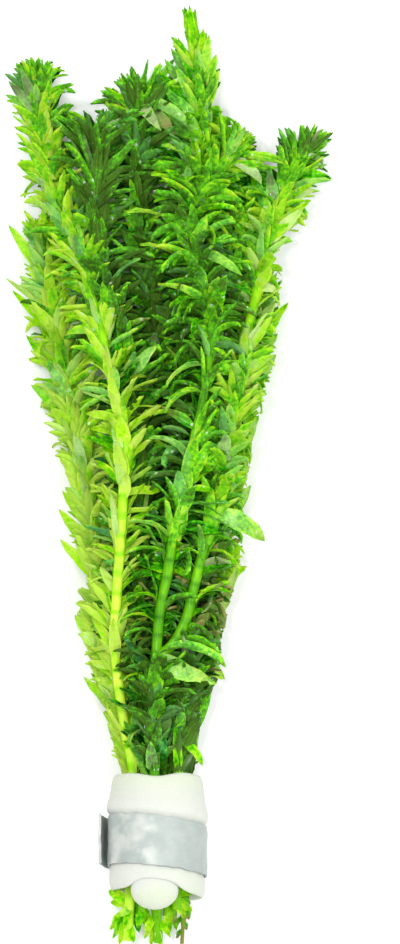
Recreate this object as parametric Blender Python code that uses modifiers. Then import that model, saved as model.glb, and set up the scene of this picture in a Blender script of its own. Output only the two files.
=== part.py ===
"""A bunch of Brazilian waterweed (Egeria densa), lying on a flat surface at z = 0.

Leafy shoots pass through a rolled strip of foam near their cut ends, and a strip of soft metal
is wound round the foam. The cut ends point along -Y and the shoot tips along +Y. A stem is grown
ring by ring, and each leaf is drawn out of one side face of the stem, in whorls, so a shoot is
one closed body. A leaf bends until it is clear of all that is there already.
"""

import math
import random

import bmesh
import bpy
from mathutils import Vector
from mathutils.bvhtree import BVHTree

MM = 0.001
WELD = 0.0001 * MM
SMOOTH_BELOW = 80
SEED = 20

# Driving dimensions of the stems
STEM_SIDES = 5
STEM_RADIUS = 1.35 * MM
STEM_TIP_RADIUS = 0.75 * MM
STEM_TAPER_FROM = 0.55
BARE_RING_SPACING = 13 * MM
LONGEST_BARE_BAND = 21 * MM
BUD_LENGTH = 1.6 * MM
STRAND_RADIUS = 0.55 * MM
STRAND_LENGTH = 9 * MM

# Driving dimensions of the leaves
LEAF_LENGTH = 11.0 * MM
LEAF_WIDTH = 4.6 * MM
LEAF_KEEL = 0.6 * MM
FLATTENED = 0.65
OVERTURNED = -0.2
LEAF_BASE_HEIGHT = 1.0 * MM
WIDEST_AT = 0.45
TESTED_FROM = 0.3
LEAF_CLEARANCE = 0.3 * MM
CLEARANCE_ABOVE = 0.3
CLEARANCE_BELOW = 1.5
WHORL_SPACING = 10.6 * MM
TIP_SPACINGS = [1.4 * MM, 2.6 * MM, 4.0 * MM, 6.0 * MM]
FIRST_ON_BRANCH = 4 * MM
TIP_LEAF_SHARE = 0.85
HANGING_LEAF_SHARE = 0.6

# Angles in degrees between a leaf and its stem, at the leaf's base and at its end
PRESSED_ANGLES = (10, 38)
OPEN_ANGLES = (30, 96)
TIP_ANGLES = (16, 84)
HANGING_ANGLES = (25, 55)
OPEN_BY = 42 * MM

# How much leaves differ: turn of a whorl in radians, swing and bend in degrees, share of length
WHORL_TURN = 0.2
LEAF_SWING = 8
LEAF_BEND = 9
LEAF_SIZES = (0.88, 1.1)

# How a leaf dodges what is in its way: so many tries, each further round, bent, and shorter
TRIES = 15
SWING_STEP = 5
OTHER_BENDS = (0, -24, 18)
SHORTEST_SHARE = 0.5
ORDER_MIX = 0.8

# Driving dimensions of the foam roll
FOAM_CENTRE = Vector((-2.6, 0, 10.8)) * MM
FOAM_TOP = -78.3 * MM
FOAM_FOOT = -106.6 * MM
RIM_RADIUS = 10.6 * MM
SHOULDER_RADIUS = 11.7 * MM
FLARE_RADIUS = 12.8 * MM
GROOVE_RADIUS = 11.45 * MM
HEM_RADIUS = 11.9 * MM
BORE_RADIUS = 8.8 * MM
RIM_ROUNDING = 0.8 * MM
FLARE_HEIGHT = 0.9 * MM
FOAM_STEPS = 20
TONGUE_CENTRE = Vector((-3.0, -106.2, 20.3)) * MM
TONGUE_HALF_SIZE = Vector((6.6, 5.4, 2.2)) * MM

# Driving dimensions of the metal strip
STRIP_TOP = -88.0 * MM
STRIP_WIDTH = 12.4 * MM
STRIP_THICKNESS = 0.7 * MM
STRIP_RADIUS = 12.1 * MM
STRIP_SLANT = 0.115
STRIP_START = 200
STRIP_END = -192
STRIP_LIFTS_FROM = -118
LOOSE_END_RADIUS = 14.5 * MM
STRIP_STEPS = 32
GAP = 0.3 * MM

# The centre line of each stem from its cut end to its tip, in millimetres
ROUTES = {
    "shoot_far_left": [
        (-10.0, -117.2, 8.0), (-9.6, -109.7, 11.2), (-9.0, -96.1, 12.8), (-8.7, -76.3, 12.8),
        (-10.6, -66.0, 14.8), (-12.2, -54.9, 17.0), (-13.2, -43.9, 19.0), (-12.8, -34.1, 21.0),
        (-11.5, -14.2, 23.5), (-10.8, 5.9, 24.5), (-13.5, 18.2, 24.0), (-16.8, 34.2, 22.5),
        (-22.5, 54.1, 18.0), (-27.0, 66.0, 15.0), (-31.0, 81.9, 11.0), (-33.2, 99.5, 9.1),
    ],
    "shoot_left_edge": [
        (-8.4, -109.8, 7.0), (-8.2, -96.0, 7.0), (-9.0, -77.0, 7.2), (-11.5, -62.4, 8.6),
        (-15.5, -42.2, 9.4), (-17.5, -22.0, 9.6), (-20.0, -6.7, 9.6), (-23.0, 11.0, 9.6),
        (-26.5, 26.3, 9.6), (-29.0, 41.5, 9.4), (-30.8, 56.5, 9.2),
    ],
    "shoot_left_bushy": [
        (-6.4, -112.5, 10.8), (-5.2, -96.1, 12.8), (-5.0, -76.4, 13.2), (-6.5, -58.2, 13.6),
        (-7.0, -37.9, 14.0), (-6.5, -22.8, 14.6), (-6.2, -7.6, 15.2), (-7.0, 7.4, 16.0),
        (-9.0, 17.5, 16.4), (-12.0, 30.3, 16.4), (-15.0, 43.1, 16.2), (-17.5, 58.4, 15.4),
        (-18.8, 73.8, 14.2), (-18.2, 86.5, 13.0),
    ],
    "shoot_centre_back": [
        (-2.0, -106.5, 4.4), (-1.6, -96.0, 4.6), (-1.5, -77.0, 4.8), (-3.0, -57.2, 7.6),
        (-4.0, -42.1, 9.0), (-3.2, -26.9, 9.2), (-2.5, -6.6, 9.2), (-2.5, 13.8, 9.2),
        (-3.2, 31.4, 9.6), (-5.0, 46.6, 10.0), (-7.0, 61.8, 10.0), (-7.5, 77.0, 9.8),
        (-7.2, 94.0, 9.4),
    ],
    "shoot_tallest": [
        (0.0, -111.5, 10.0), (-0.4, -95.9, 10.6), (-0.6, -76.1, 10.8), (0.2, -57.9, 11.6),
        (2.0, -37.4, 11.4), (3.6, -17.0, 11.2), (4.6, 3.2, 11.6), (5.4, 18.3, 12.2),
        (5.8, 33.4, 12.8), (5.6, 48.6, 13.2), (5.8, 63.8, 13.2), (7.2, 76.6, 12.6),
        (8.4, 88.0, 11.4), (8.0, 99.0, 10.2), (6.4, 111.5, 9.2),
    ],
    "shoot_centre_front": [
        (-2.5, -117.5, 8.0), (-2.8, -110.6, 12.4), (-2.8, -104.0, 15.3), (-2.8, -96.9, 17.0),
        (-3.2, -77.2, 17.8), (-3.8, -59.3, 20.0), (-2.8, -46.9, 22.0), (-2.0, -37.0, 23.0),
        (-0.2, -28.3, 24.5), (1.2, -19.7, 26.0), (3.5, -11.0, 26.8), (5.2, -2.2, 27.2),
        (6.8, 6.7, 27.2), (8.8, 15.6, 27.0), (10.2, 25.9, 26.2), (10.2, 38.9, 24.6),
        (8.0, 51.9, 22.4), (6.4, 61.9, 20.6), (8.6, 70.5, 18.2), (12.6, 76.8, 15.6),
        (16.6, 82.0, 13.4),
    ],
    "branch_right": [
        (0.35, -46.0, 21.7), (2.6, -42.9, 21.6), (4.8, -38.0, 21.8), (6.6, -30.5, 22.4),
        (8.8, -21.8, 23.0), (11.4, -11.7, 23.4), (14.2, 1.0, 23.4), (16.5, 13.7, 23.2),
        (18.4, 24.0, 22.6), (20.0, 34.3, 21.6), (21.8, 43.5, 20.0), (23.5, 54.1, 17.5),
        (25.5, 63.6, 14.5), (29.0, 71.7, 11.5), (33.6, 81.5, 9.0),
    ],
    "shoot_right_edge": [
        (3.5, -118.1, 7.0), (4.0, -109.5, 9.4), (4.2, -95.7, 10.2), (4.2, -75.9, 10.2),
        (6.2, -57.5, 9.6), (8.2, -42.1, 9.2), (10.8, -26.9, 9.2), (13.8, -11.6, 9.2),
        (16.8, 3.6, 9.2), (19.2, 18.8, 9.2), (21.0, 31.4, 9.4), (22.4, 42.0, 9.4),
    ],
    "shoot_right_short": [
        (2.2, -110.3, 13.0), (2.4, -96.6, 14.8), (2.6, -76.8, 15.4), (3.8, -58.7, 16.2),
        (5.8, -38.3, 16.6), (7.8, -23.1, 16.8), (9.8, -5.3, 17.0), (11.8, 12.4, 17.2),
        (13.2, 30.3, 16.6), (14.6, 45.7, 15.4), (15.4, 57.3, 14.2),
    ],
}
COLOURS = {
    "shoot_far_left": (0.36, 0.60, 0.04),
    "shoot_left_edge": (0.27, 0.53, 0.05),
    "shoot_left_bushy": (0.10, 0.36, 0.04),
    "shoot_centre_back": (0.08, 0.28, 0.03),
    "shoot_tallest": (0.20, 0.47, 0.06),
    "shoot_centre_front": (0.22, 0.56, 0.03),
    "branch_right": (0.20, 0.52, 0.03),
    "shoot_right_edge": (0.16, 0.34, 0.04),
    "shoot_right_short": (0.12, 0.38, 0.05),
}
# How far above its cut end a shoot has a last whorl, whose leaves hang towards the cut end
FOOT_WHORLS = {
    "shoot_far_left": 4.5 * MM,
    "shoot_left_edge": 1.5 * MM,
    "shoot_left_bushy": 2.0 * MM,
    "shoot_tallest": 2.0 * MM,
    "shoot_right_short": 1.5 * MM,
}
# Shoots that are mostly covered have their whorls further apart
SPARSE = {"shoot_centre_back": 1.3, "shoot_right_short": 1.3, "shoot_left_bushy": 1.1}
BRANCHES = ("branch_right",)
STRANDS = ("shoot_right_edge",)


def clear_scene():
    for thing in list(bpy.data.objects):
        bpy.data.objects.remove(thing, do_unlink=True)


def plain_material(name, colour, roughness, metallic=0.0):
    material = bpy.data.materials.new(name)
    material.use_nodes = True
    shader = material.node_tree.nodes["Principled BSDF"]
    shader.inputs["Base Color"].default_value = (*colour, 1.0)
    shader.inputs["Roughness"].default_value = roughness
    shader.inputs["Metallic"].default_value = metallic
    material.diffuse_color = (*colour, 1.0)
    return material


def mix(low, high, share):
    return low + (high - low) * share


def clamped(value):
    return min(1.0, max(0.0, value))


class Path:
    """A smooth line through a route's points, walked by the distance from its foot."""

    STEPS = 12

    def __init__(self, route):
        points = [Vector(point) * MM for point in route]
        before = 2 * points[0] - points[1]
        after = 2 * points[-1] - points[-2]
        all_points = [before, *points, after]
        self.places = []
        for a, b, c, d in zip(all_points, all_points[1:], all_points[2:], all_points[3:]):
            for step in range(self.STEPS):
                self.places.append(self.between(a, b, c, d, step / self.STEPS))
        self.places.append(points[-1])
        self.walked = [0.0]
        for here, there in zip(self.places, self.places[1:]):
            self.walked.append(self.walked[-1] + (there - here).length)
        self.length = self.walked[-1]

    @staticmethod
    def between(a, b, c, d, t):
        """The Catmull-Rom curve from b to c."""
        bend = 2 * a - 5 * b + 4 * c - d
        twist = 3 * (b - c) + d - a
        return 0.5 * (2 * b + (c - a) * t + bend * t**2 + twist * t**3)

    def at(self, distance):
        """The place there, with the directions along the stem, up and to the right."""
        index = 0
        while index < len(self.walked) - 2 and self.walked[index + 1] < distance:
            index += 1
        here, there = self.places[index], self.places[index + 1]
        share = (distance - self.walked[index]) / (there - here).length
        along = (there - here).normalized()
        right = along.cross(Vector((0, 0, 1))).normalized()
        up = right.cross(along)
        return here.lerp(there, share), along, up, right

    def where_y_passes(self, y):
        for place, distance in zip(self.places, self.walked):
            if place.y > y:
                return distance
        return self.length


def collection_named(name):
    collection = bpy.data.collections.new(name)
    bpy.context.scene.collection.children.link(collection)
    return collection


def finished_object(name, mesh, material, collection):
    mesh.shade_smooth()
    mesh.set_sharp_from_angle(angle=math.radians(SMOOTH_BELOW))
    mesh.materials.clear()
    mesh.materials.append(material)
    made = bpy.data.objects.new(name, mesh)
    collection.objects.link(made)
    return made


def stem_radius(name, path, distance):
    """Full size for the lower part, then tapering to the tip, with a torn strand at some feet."""
    share = distance / path.length
    taper = clamped((share - STEM_TAPER_FROM) / (1 - STEM_TAPER_FROM))
    radius = mix(STEM_RADIUS, STEM_TIP_RADIUS, taper)
    if name in STRANDS and distance < STRAND_LENGTH:
        torn = clamped(distance / STRAND_LENGTH) ** 3
        radius = mix(STRAND_RADIUS, radius, torn)
    return radius


def whorl_distances(name, path):
    """Where the whorls sit: crowded at the tip, then evenly down to the foam or the fork."""
    lowest = FIRST_ON_BRANCH if name in BRANCHES else path.where_y_passes(FOAM_TOP)
    distance = path.length
    found = []
    for spacing in TIP_SPACINGS:
        distance -= spacing
        found.append(distance)
    spacing = WHORL_SPACING * SPARSE.get(name, 1.0)
    while distance - spacing > lowest:
        distance -= spacing
        found.append(distance)
    return sorted(found)


class Shoot:
    """A stem as a closed body of rings, and the side faces that its leaves grow from."""

    def __init__(self, name, route, draw):
        self.name = name
        self.path = Path(route)
        self.bm = bmesh.new()
        self.slots = []
        self.draw_stem(draw)

    def ring(self, distance, turn):
        place, _, up, right = self.path.at(distance)
        radius = stem_radius(self.name, self.path, distance)
        step = 2 * math.pi / STEM_SIDES
        angles = [turn + step * side for side in range(STEM_SIDES)]
        return [place + radius * (math.cos(a) * up + math.sin(a) * right) for a in angles]

    def ring_plan(self, draw):
        """(distance, turn, whorl) of every ring, where a whorl's two rings share one turn."""
        whorls = [(distance, "grown") for distance in whorl_distances(self.name, self.path)]
        if self.name in FOOT_WHORLS:
            whorls.insert(0, (FOOT_WHORLS[self.name], "hanging"))
        plan = [(0.0, 0.0, None)]
        half_side = math.pi / STEM_SIDES
        for count, (distance, kind) in enumerate(whorls):
            while distance - plan[-1][0] > LONGEST_BARE_BAND:
                plan.append((plan[-1][0] + BARE_RING_SPACING, plan[-1][1], None))
            turn = half_side * (count % 2) + draw.uniform(-WHORL_TURN, WHORL_TURN)
            plan.append((distance, turn, None))
            top = min(distance + LEAF_BASE_HEIGHT, self.path.length)
            plan.append((top, turn, kind))
        return plan

    def draw_stem(self, draw):
        plan = self.ring_plan(draw)
        bmesh.ops.create_cone(
            self.bm, cap_ends=True, segments=STEM_SIDES, radius1=1, radius2=1, depth=1
        )
        step = 2 * math.pi / STEM_SIDES
        rings = [self.ring(distance, turn) for distance, turn, _ in plan]
        self.bm.faces.ensure_lookup_table()
        cap = max(self.bm.faces, key=lambda face: face.calc_center_median().z)
        sides = {}
        for vert in self.bm.verts:
            sides[vert] = round(math.atan2(vert.co.y, vert.co.x) / step) % STEM_SIDES
        order = [sides[vert] for vert in cap.verts]
        for vert in self.bm.verts:
            vert.co = rings[1 if vert.co.z > 0 else 0][sides[vert]]
        lower = {vert: side for vert, side in zip(cap.verts, order)}
        for index in range(2, len(rings)):
            cap = bmesh.ops.extrude_discrete_faces(self.bm, faces=[cap])["faces"][0]
            upper = dict(zip(cap.verts, order))
            for vert, side in upper.items():
                vert.co = rings[index][side]
            if plan[index][2]:
                self.add_slots(cap, lower, upper, plan[index])
            lower = upper
        cap = bmesh.ops.extrude_discrete_faces(self.bm, faces=[cap])["faces"][0]
        place, along, _, _ = self.path.at(self.path.length)
        for vert in cap.verts:
            vert.co = place + along * BUD_LENGTH
        self.stem_tree = tree_of(self.bm)

    def add_slots(self, cap, lower, upper, ring):
        """Each side face of this band can carry a leaf."""
        distance, turn, kind = ring
        for edge in cap.edges:
            face = next(f for f in edge.link_faces if f is not cap)
            pair = sorted(upper[vert] for vert in edge.verts)
            first = pair[1] if pair == [0, STEM_SIDES - 1] else pair[0]
            angle = turn + 2 * math.pi / STEM_SIDES * (first + 0.5)
            corners = {}
            for vert in face.verts:
                side = upper.get(vert, lower.get(vert))
                corners[vert] = (vert in upper, side != first)
            self.slots.append((self, face, corners, distance, angle, kind))

    def finish(self, material, collection):
        bmesh.ops.remove_doubles(self.bm, verts=self.bm.verts, dist=WELD)
        mesh = bpy.data.meshes.new(self.name)
        self.bm.to_mesh(mesh)
        self.bm.free()
        return finished_object(self.name, mesh, material, collection)


def cut_both_ways(a, b, c, d):
    """The triangles of a twisted four-sided face, in both of the ways that it can be cut."""
    return [(a, b, c), (a, c, d), (a, b, d), (b, c, d)]


def tree_of(bm):
    """What a stem is tested with: its four-sided faces, cut both ways, and its ends."""
    bm.verts.index_update()
    points = [vert.co.copy() for vert in bm.verts]
    faces = []
    for face in bm.faces:
        corners = [vert.index for vert in face.verts]
        faces += cut_both_ways(*corners) if len(corners) == 4 else [corners]
    return BVHTree.FromPolygons(points, faces)


def leaf_angles(path, distance, kind):
    """Start and end angle to the stem, in degrees, and the share of full length."""
    if kind == "hanging":
        return *HANGING_ANGLES, HANGING_LEAF_SHARE
    above_foam = path.at(distance)[0].y - FOAM_TOP
    opened = clamped(above_foam / OPEN_BY)
    tip = clamped(1 - (path.length - distance) / sum(TIP_SPACINGS))
    start = mix(mix(PRESSED_ANGLES[0], OPEN_ANGLES[0], opened), TIP_ANGLES[0], tip)
    end = mix(mix(PRESSED_ANGLES[1], OPEN_ANGLES[1], opened), TIP_ANGLES[1], tip)
    return start, end, mix(1.0, TIP_LEAF_SHARE, tip)


class Leaf:
    """One leaf's middle line and its three-cornered section, flat above and keeled below."""

    STEPS = 20

    def __init__(self, base, along, out, start, end, length):
        self.across = along.cross(out).normalized()
        self.length = length
        self.line = [base.copy()]
        self.normals = []
        for step in range(self.STEPS):
            angle = math.radians(mix(start, end, (step + 0.5) / self.STEPS))
            heading = math.cos(angle) * along + math.sin(angle) * out
            self.normals.append(math.sin(angle) * along - math.cos(angle) * out)
            self.line.append(self.line[-1] + heading * (length / self.STEPS))
        self.normals.append(self.normals[-1])

    def facing(self, index):
        """The blade's normal and its direction across, with the blade rolled to lie flatter."""
        normal = self.normals[index]
        flat = normal.lerp(Vector((0, 0, 1 if normal.z > OVERTURNED else -1)), FLATTENED)
        heading = self.across.cross(normal)
        flat -= heading * flat.dot(heading)
        flat.normalize()
        return flat, flat.cross(heading)

    def section(self, share, spread=0.0):
        """Left edge, right edge and keel there, lifted to lie on the surface at z = 0."""
        index = round(share * self.STEPS)
        place = self.line[index]
        normal, across = self.facing(index)
        fullness = share / WIDEST_AT if share < WIDEST_AT else (1 - share) / (1 - WIDEST_AT)
        half = self.length / LEAF_LENGTH * LEAF_WIDTH / 2 * clamped(fullness) + spread
        raised = normal * (spread * CLEARANCE_ABOVE)
        left = place - across * half + raised
        right = place + across * half + raised
        keel = place - normal * (LEAF_KEEL * clamped(fullness) + spread * CLEARANCE_BELOW)
        lift = Vector((0, 0, max(0.0, -min(left.z, right.z, keel.z))))
        return [left + lift, right + lift, keel + lift]

    def tip(self, beyond=0.0):
        place = self.line[-1] + (self.line[-1] - self.line[-2]).normalized() * beyond
        return Vector((place.x, place.y, max(0.0, place.z)))

    def hull(self, roots, spread, first=0.0):
        """Points and faces of the leaf from a share of its way out, thicker by the spread.

        The roots are the four corners where the leaf leaves the stem.
        """
        left, right, keel = self.section(WIDEST_AT, spread)
        low = [root.lerp(end, first) for root, end in zip(roots, (left, right, keel, keel))]
        points = [*low, left, right, keel, self.tip(spread)]
        faces = [(0, 1, 2), (0, 2, 3), (2, 3, 6), (4, 5, 7), (5, 6, 7), (6, 4, 7)]
        for side in ((0, 1, 5, 4), (1, 2, 6, 5), (3, 0, 4, 6)):
            faces += cut_both_ways(*side)
        return points, faces


def leaf_tries(draw):
    """Turns, bends and lengths to try, from the natural leaf to a short one that dodges."""
    swing = draw.uniform(-LEAF_SWING, LEAF_SWING)
    bend = draw.uniform(-LEAF_BEND, LEAF_BEND)
    size = draw.uniform(*LEAF_SIZES)
    for attempt in range(TRIES):
        way = 1 if attempt % 2 else -1
        further = way * SWING_STEP * math.ceil(attempt / len(OTHER_BENDS))
        more = OTHER_BENDS[attempt % len(OTHER_BENDS)]
        yield swing + further, bend + more, mix(size, SHORTEST_SHARE, attempt / TRIES)


class Hulls:
    """Leaves that are placed already, as one body of faces to test against."""

    def __init__(self):
        self.points = []
        self.faces = []
        self.tree = None

    def add(self, points, faces):
        start = len(self.points)
        self.points += points
        self.faces += [[start + index for index in face] for face in faces]
        self.tree = BVHTree.FromPolygons(self.points, self.faces)

    def meet(self, tree):
        return self.tree is not None and bool(self.tree.overlap(tree))


class Grower:
    """Places leaves one after another, each clear of stems, foam and earlier leaves.

    Leaves of other shoots are kept clear of the whole leaf. Leaves of one shoot may touch where
    they leave the stem, so between them only the part further out is tested.
    """

    def __init__(self, shoots, fixed):
        self.shoots = shoots
        self.fixed = fixed
        self.whole = {shoot: Hulls() for shoot in shoots}
        self.outer = {shoot: Hulls() for shoot in shoots}

    def is_free(self, shoot, leaf, roots):
        whole = BVHTree.FromPolygons(*leaf.hull(roots, LEAF_CLEARANCE))
        outer = BVHTree.FromPolygons(*leaf.hull(roots, LEAF_CLEARANCE, TESTED_FROM))
        if self.outer[shoot].meet(outer) or any(tree.overlap(whole) for tree in self.fixed):
            return False
        others = [other for other in self.shoots if other is not shoot]
        return not any(
            other.stem_tree.overlap(whole) or self.whole[other].meet(whole) for other in others
        )

    def remember(self, shoot, leaf, roots):
        self.whole[shoot].add(*leaf.hull(roots, 0))
        self.outer[shoot].add(*leaf.hull(roots, 0, TESTED_FROM))

    def grow(self, slot, draw):
        shoot, face, corners, distance, angle, kind = slot
        place, along, up, right = shoot.path.at(distance - LEAF_BASE_HEIGHT / 2)
        start, end, share = leaf_angles(shoot.path, distance, kind)
        heading = -along if kind == "hanging" else along
        roots = sorted(corners, key=lambda vert: leaf_corner(*corners[vert], kind))
        roots = [vert.co.copy() for vert in roots]
        for swing, bend, size in leaf_tries(draw):
            turned = angle + math.radians(swing)
            out = math.cos(turned) * up + math.sin(turned) * right
            base = place + out * stem_radius(shoot.name, shoot.path, distance)
            leaf = Leaf(base, heading, out, start + bend / 2, end + bend, LEAF_LENGTH * share * size)
            if self.is_free(shoot, leaf, roots):
                self.remember(shoot, leaf, roots)
                draw_out(shoot.bm, face, corners, leaf, kind)
                return


def leaf_corner(is_upper, is_right, kind):
    """The corner of a leaf that a corner of its face on the stem becomes.

    Corner 0 is the left edge, 1 the right edge, and 2 and 3 are the keel's right and left side.
    """
    on_blade = is_upper != (kind == "hanging")
    on_right = is_right != (kind == "hanging")
    if on_blade:
        return 1 if on_right else 0
    return 2 if on_right else 3


def draw_out(bm, face, corners, leaf, kind):
    """Extrudes the stem's face to the leaf's widest place, and from there to its tip."""
    order = [leaf_corner(*corners[vert], kind) for vert in face.verts]
    left, right, keel = leaf.section(WIDEST_AT)
    wide = bmesh.ops.extrude_discrete_faces(bm, faces=[face])["faces"][0]
    for vert, corner in zip(wide.verts, order):
        vert.co = (left, right, keel, keel)[corner]
    point = bmesh.ops.extrude_discrete_faces(bm, faces=[wide])["faces"][0]
    for vert in point.verts:
        vert.co = leaf.tip()


def foam_profile():
    """(distance from the axis, y) down the outside of the roll, then back up its bore."""
    groove_top = STRIP_TOP + GAP
    groove_foot = STRIP_TOP - STRIP_WIDTH - GAP
    outside = [
        (RIM_RADIUS, FOAM_TOP),
        (RIM_RADIUS + RIM_ROUNDING, FOAM_TOP - RIM_ROUNDING),
        (SHOULDER_RADIUS, mix(FOAM_TOP, groove_top, 0.4)),
        (FLARE_RADIUS, mix(FOAM_TOP, groove_top, 0.75)),
        (FLARE_RADIUS, groove_top + FLARE_HEIGHT),
        (GROOVE_RADIUS, groove_top),
        (GROOVE_RADIUS, groove_foot),
        (HEM_RADIUS, groove_foot - RIM_ROUNDING),
        (HEM_RADIUS, FOAM_FOOT + RIM_ROUNDING),
        (HEM_RADIUS - RIM_ROUNDING, FOAM_FOOT),
    ]
    inside = [(BORE_RADIUS, FOAM_FOOT + GAP), (BORE_RADIUS, FOAM_TOP - GAP)]
    return outside + inside


def slant_at(x, y):
    """How far a point is moved along Y, so that strip and groove run aslant and the rims don't."""
    middle = STRIP_TOP - STRIP_WIDTH / 2
    reach = STRIP_WIDTH / 2 + GAP
    off = max(0.0, abs(y - middle) - reach)
    room = (FOAM_TOP - middle if y > middle else middle - FOAM_FOOT) - reach
    return -STRIP_SLANT * (x - FOAM_CENTRE.x) * clamped(1 - off / room)


def foam_wrap(material, collection):
    """The foam roll: a turned tube pressed flat below, with its inner end bulging out at the foot."""
    bm = bmesh.new()
    profile = foam_profile()
    verts = [bm.verts.new((FOAM_CENTRE.x + radius, y, FOAM_CENTRE.z)) for radius, y in profile]
    edges = [bm.edges.new(pair) for pair in zip(verts, verts[1:] + verts[:1])]
    bmesh.ops.spin(
        bm,
        geom=verts + edges,
        cent=FOAM_CENTRE,
        axis=(0, 1, 0),
        angle=2 * math.pi,
        steps=FOAM_STEPS,
        use_merge=True,
    )
    bmesh.ops.remove_doubles(bm, verts=bm.verts, dist=WELD)
    groove_top = STRIP_TOP + GAP
    groove_foot = STRIP_TOP - STRIP_WIDTH - GAP
    for vert in bm.verts:
        in_groove = groove_foot - WELD < vert.co.y < groove_top + WELD
        lowest = STRIP_THICKNESS + GAP if in_groove else 0.0
        vert.co.z = max(lowest, vert.co.z)
        vert.co.y += slant_at(vert.co.x, vert.co.y)
    bmesh.ops.recalc_face_normals(bm, faces=bm.faces)
    mesh = bpy.data.meshes.new("foam_wrap")
    bm.to_mesh(mesh)
    bm.free()
    roll = finished_object("foam_wrap", mesh, material, collection)
    tongue = foam_tongue()
    union = roll.modifiers.new("inner end", "BOOLEAN")
    union.operation = "UNION"
    union.solver = "EXACT"
    union.object = tongue
    return roll


def foam_tongue():
    """The rounded inner end of the roll, which shows above the cut stems."""
    bm = bmesh.new()
    bmesh.ops.create_uvsphere(bm, u_segments=14, v_segments=7, radius=1)
    bmesh.ops.scale(bm, vec=TONGUE_HALF_SIZE, verts=bm.verts)
    bmesh.ops.translate(bm, vec=TONGUE_CENTRE, verts=bm.verts)
    mesh = bpy.data.meshes.new("foam_inner_end")
    bm.to_mesh(mesh)
    bm.free()
    helper = bpy.data.objects.new("foam_inner_end", mesh)
    cutters = collection_named("helpers")
    cutters.objects.link(helper)
    helper.hide_render = True
    helper.display_type = "WIRE"
    return helper


def strip_line():
    """The middle of the metal strip, seen along Y: once round, then standing off as it ends."""
    places = []
    for step in range(STRIP_STEPS + 1):
        angle = mix(STRIP_START, STRIP_END, step / STRIP_STEPS)
        lifted = clamped((STRIP_LIFTS_FROM - angle) / (STRIP_LIFTS_FROM - STRIP_END))
        radius = mix(STRIP_RADIUS, LOOSE_END_RADIUS, lifted)
        x = FOAM_CENTRE.x + radius * math.cos(math.radians(angle))
        z = FOAM_CENTRE.z + radius * math.sin(math.radians(angle))
        places.append((x, max(z, STRIP_THICKNESS / 2)))
    return places


def weight_strip(material, collection):
    """The soft metal strip: an open band with Solidify."""
    bm = bmesh.new()
    line = [bm.verts.new((x, STRIP_TOP, z)) for x, z in strip_line()]
    edges = [bm.edges.new(pair) for pair in zip(line, line[1:])]
    made = bmesh.ops.extrude_edge_only(bm, edges=edges)["geom"]
    lower = [thing for thing in made if isinstance(thing, bmesh.types.BMVert)]
    bmesh.ops.translate(bm, vec=(0, -STRIP_WIDTH, 0), verts=lower)
    for vert in bm.verts:
        vert.co.y += slant_at(vert.co.x, STRIP_TOP - STRIP_WIDTH / 2)
    bmesh.ops.recalc_face_normals(bm, faces=bm.faces)
    mesh = bpy.data.meshes.new("weight_strip")
    bm.to_mesh(mesh)
    bm.free()
    strip = finished_object("weight_strip", mesh, material, collection)
    wall = strip.modifiers.new("thickness", "SOLIDIFY")
    wall.thickness = STRIP_THICKNESS
    wall.offset = 0
    wall.use_even_offset = True
    return strip


def evaluated_tree(thing):
    bpy.context.view_layer.update()
    return BVHTree.FromObject(thing, bpy.context.evaluated_depsgraph_get())


def leafy_shoots(fixed, collection):
    """All shoots: the stems first, then the leaves, the ones that face upwards before the others."""
    draw = random.Random(SEED)
    shoots = [Shoot(name, route, draw) for name, route in ROUTES.items()]
    slots = [slot for shoot in shoots for slot in shoot.slots]
    slots.sort(key=lambda slot: -math.cos(slot[4]) + draw.uniform(0, ORDER_MIX))
    grower = Grower(shoots, fixed)
    for slot in slots:
        grower.grow(slot, draw)
    for shoot in shoots:
        material = plain_material(shoot.name, COLOURS[shoot.name], 0.4)
        shoot.finish(material, collection)


def main():
    clear_scene()
    collection = collection_named("brazilian_waterweed")
    foam_material = plain_material("white foam", (0.86, 0.87, 0.82), 0.9)
    foam = foam_wrap(foam_material, collection)
    strip = weight_strip(plain_material("soft metal", (0.62, 0.66, 0.65), 0.45, 0.9), collection)
    leafy_shoots([evaluated_tree(foam), evaluated_tree(strip)], collection)


main()
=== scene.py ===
# %% [markdown]
# # A bunch of Brazilian waterweed
#
# Nine soft, wet shoots of an aquarium plant, one of them a branch of another, lie on a table.
# They are held near their cut ends by a roll of white foam, and a strip of soft grey metal is
# wound round the foam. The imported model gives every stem, the foam and the strip its place. This
# lesson dresses them: thousands of small leaves grown from one that is modelled by hand, stems
# with dark joints, spongy foam and crumpled metal.

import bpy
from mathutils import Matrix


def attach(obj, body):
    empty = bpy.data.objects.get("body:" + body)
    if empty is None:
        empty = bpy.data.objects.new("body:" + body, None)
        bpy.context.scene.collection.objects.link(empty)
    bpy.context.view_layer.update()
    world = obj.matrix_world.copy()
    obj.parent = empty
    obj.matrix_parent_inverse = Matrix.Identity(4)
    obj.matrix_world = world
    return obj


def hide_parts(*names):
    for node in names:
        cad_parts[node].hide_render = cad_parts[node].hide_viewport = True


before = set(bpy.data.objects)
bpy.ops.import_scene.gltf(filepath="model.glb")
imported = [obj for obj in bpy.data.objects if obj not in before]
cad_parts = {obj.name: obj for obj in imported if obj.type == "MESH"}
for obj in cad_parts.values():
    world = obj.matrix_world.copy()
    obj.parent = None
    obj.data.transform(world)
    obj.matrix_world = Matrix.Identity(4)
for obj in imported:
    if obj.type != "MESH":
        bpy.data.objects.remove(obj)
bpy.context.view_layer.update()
print("nodes to dress:", ", ".join(sorted(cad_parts)))

# %% Tools and units
import math
import random
from types import SimpleNamespace

import bmesh
import bpy
import numpy as np
from mathutils import Matrix, Vector, noise

MM = 0.001
BODY = "root"
print("all lengths are in metres, so a millimetre is", MM)

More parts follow.
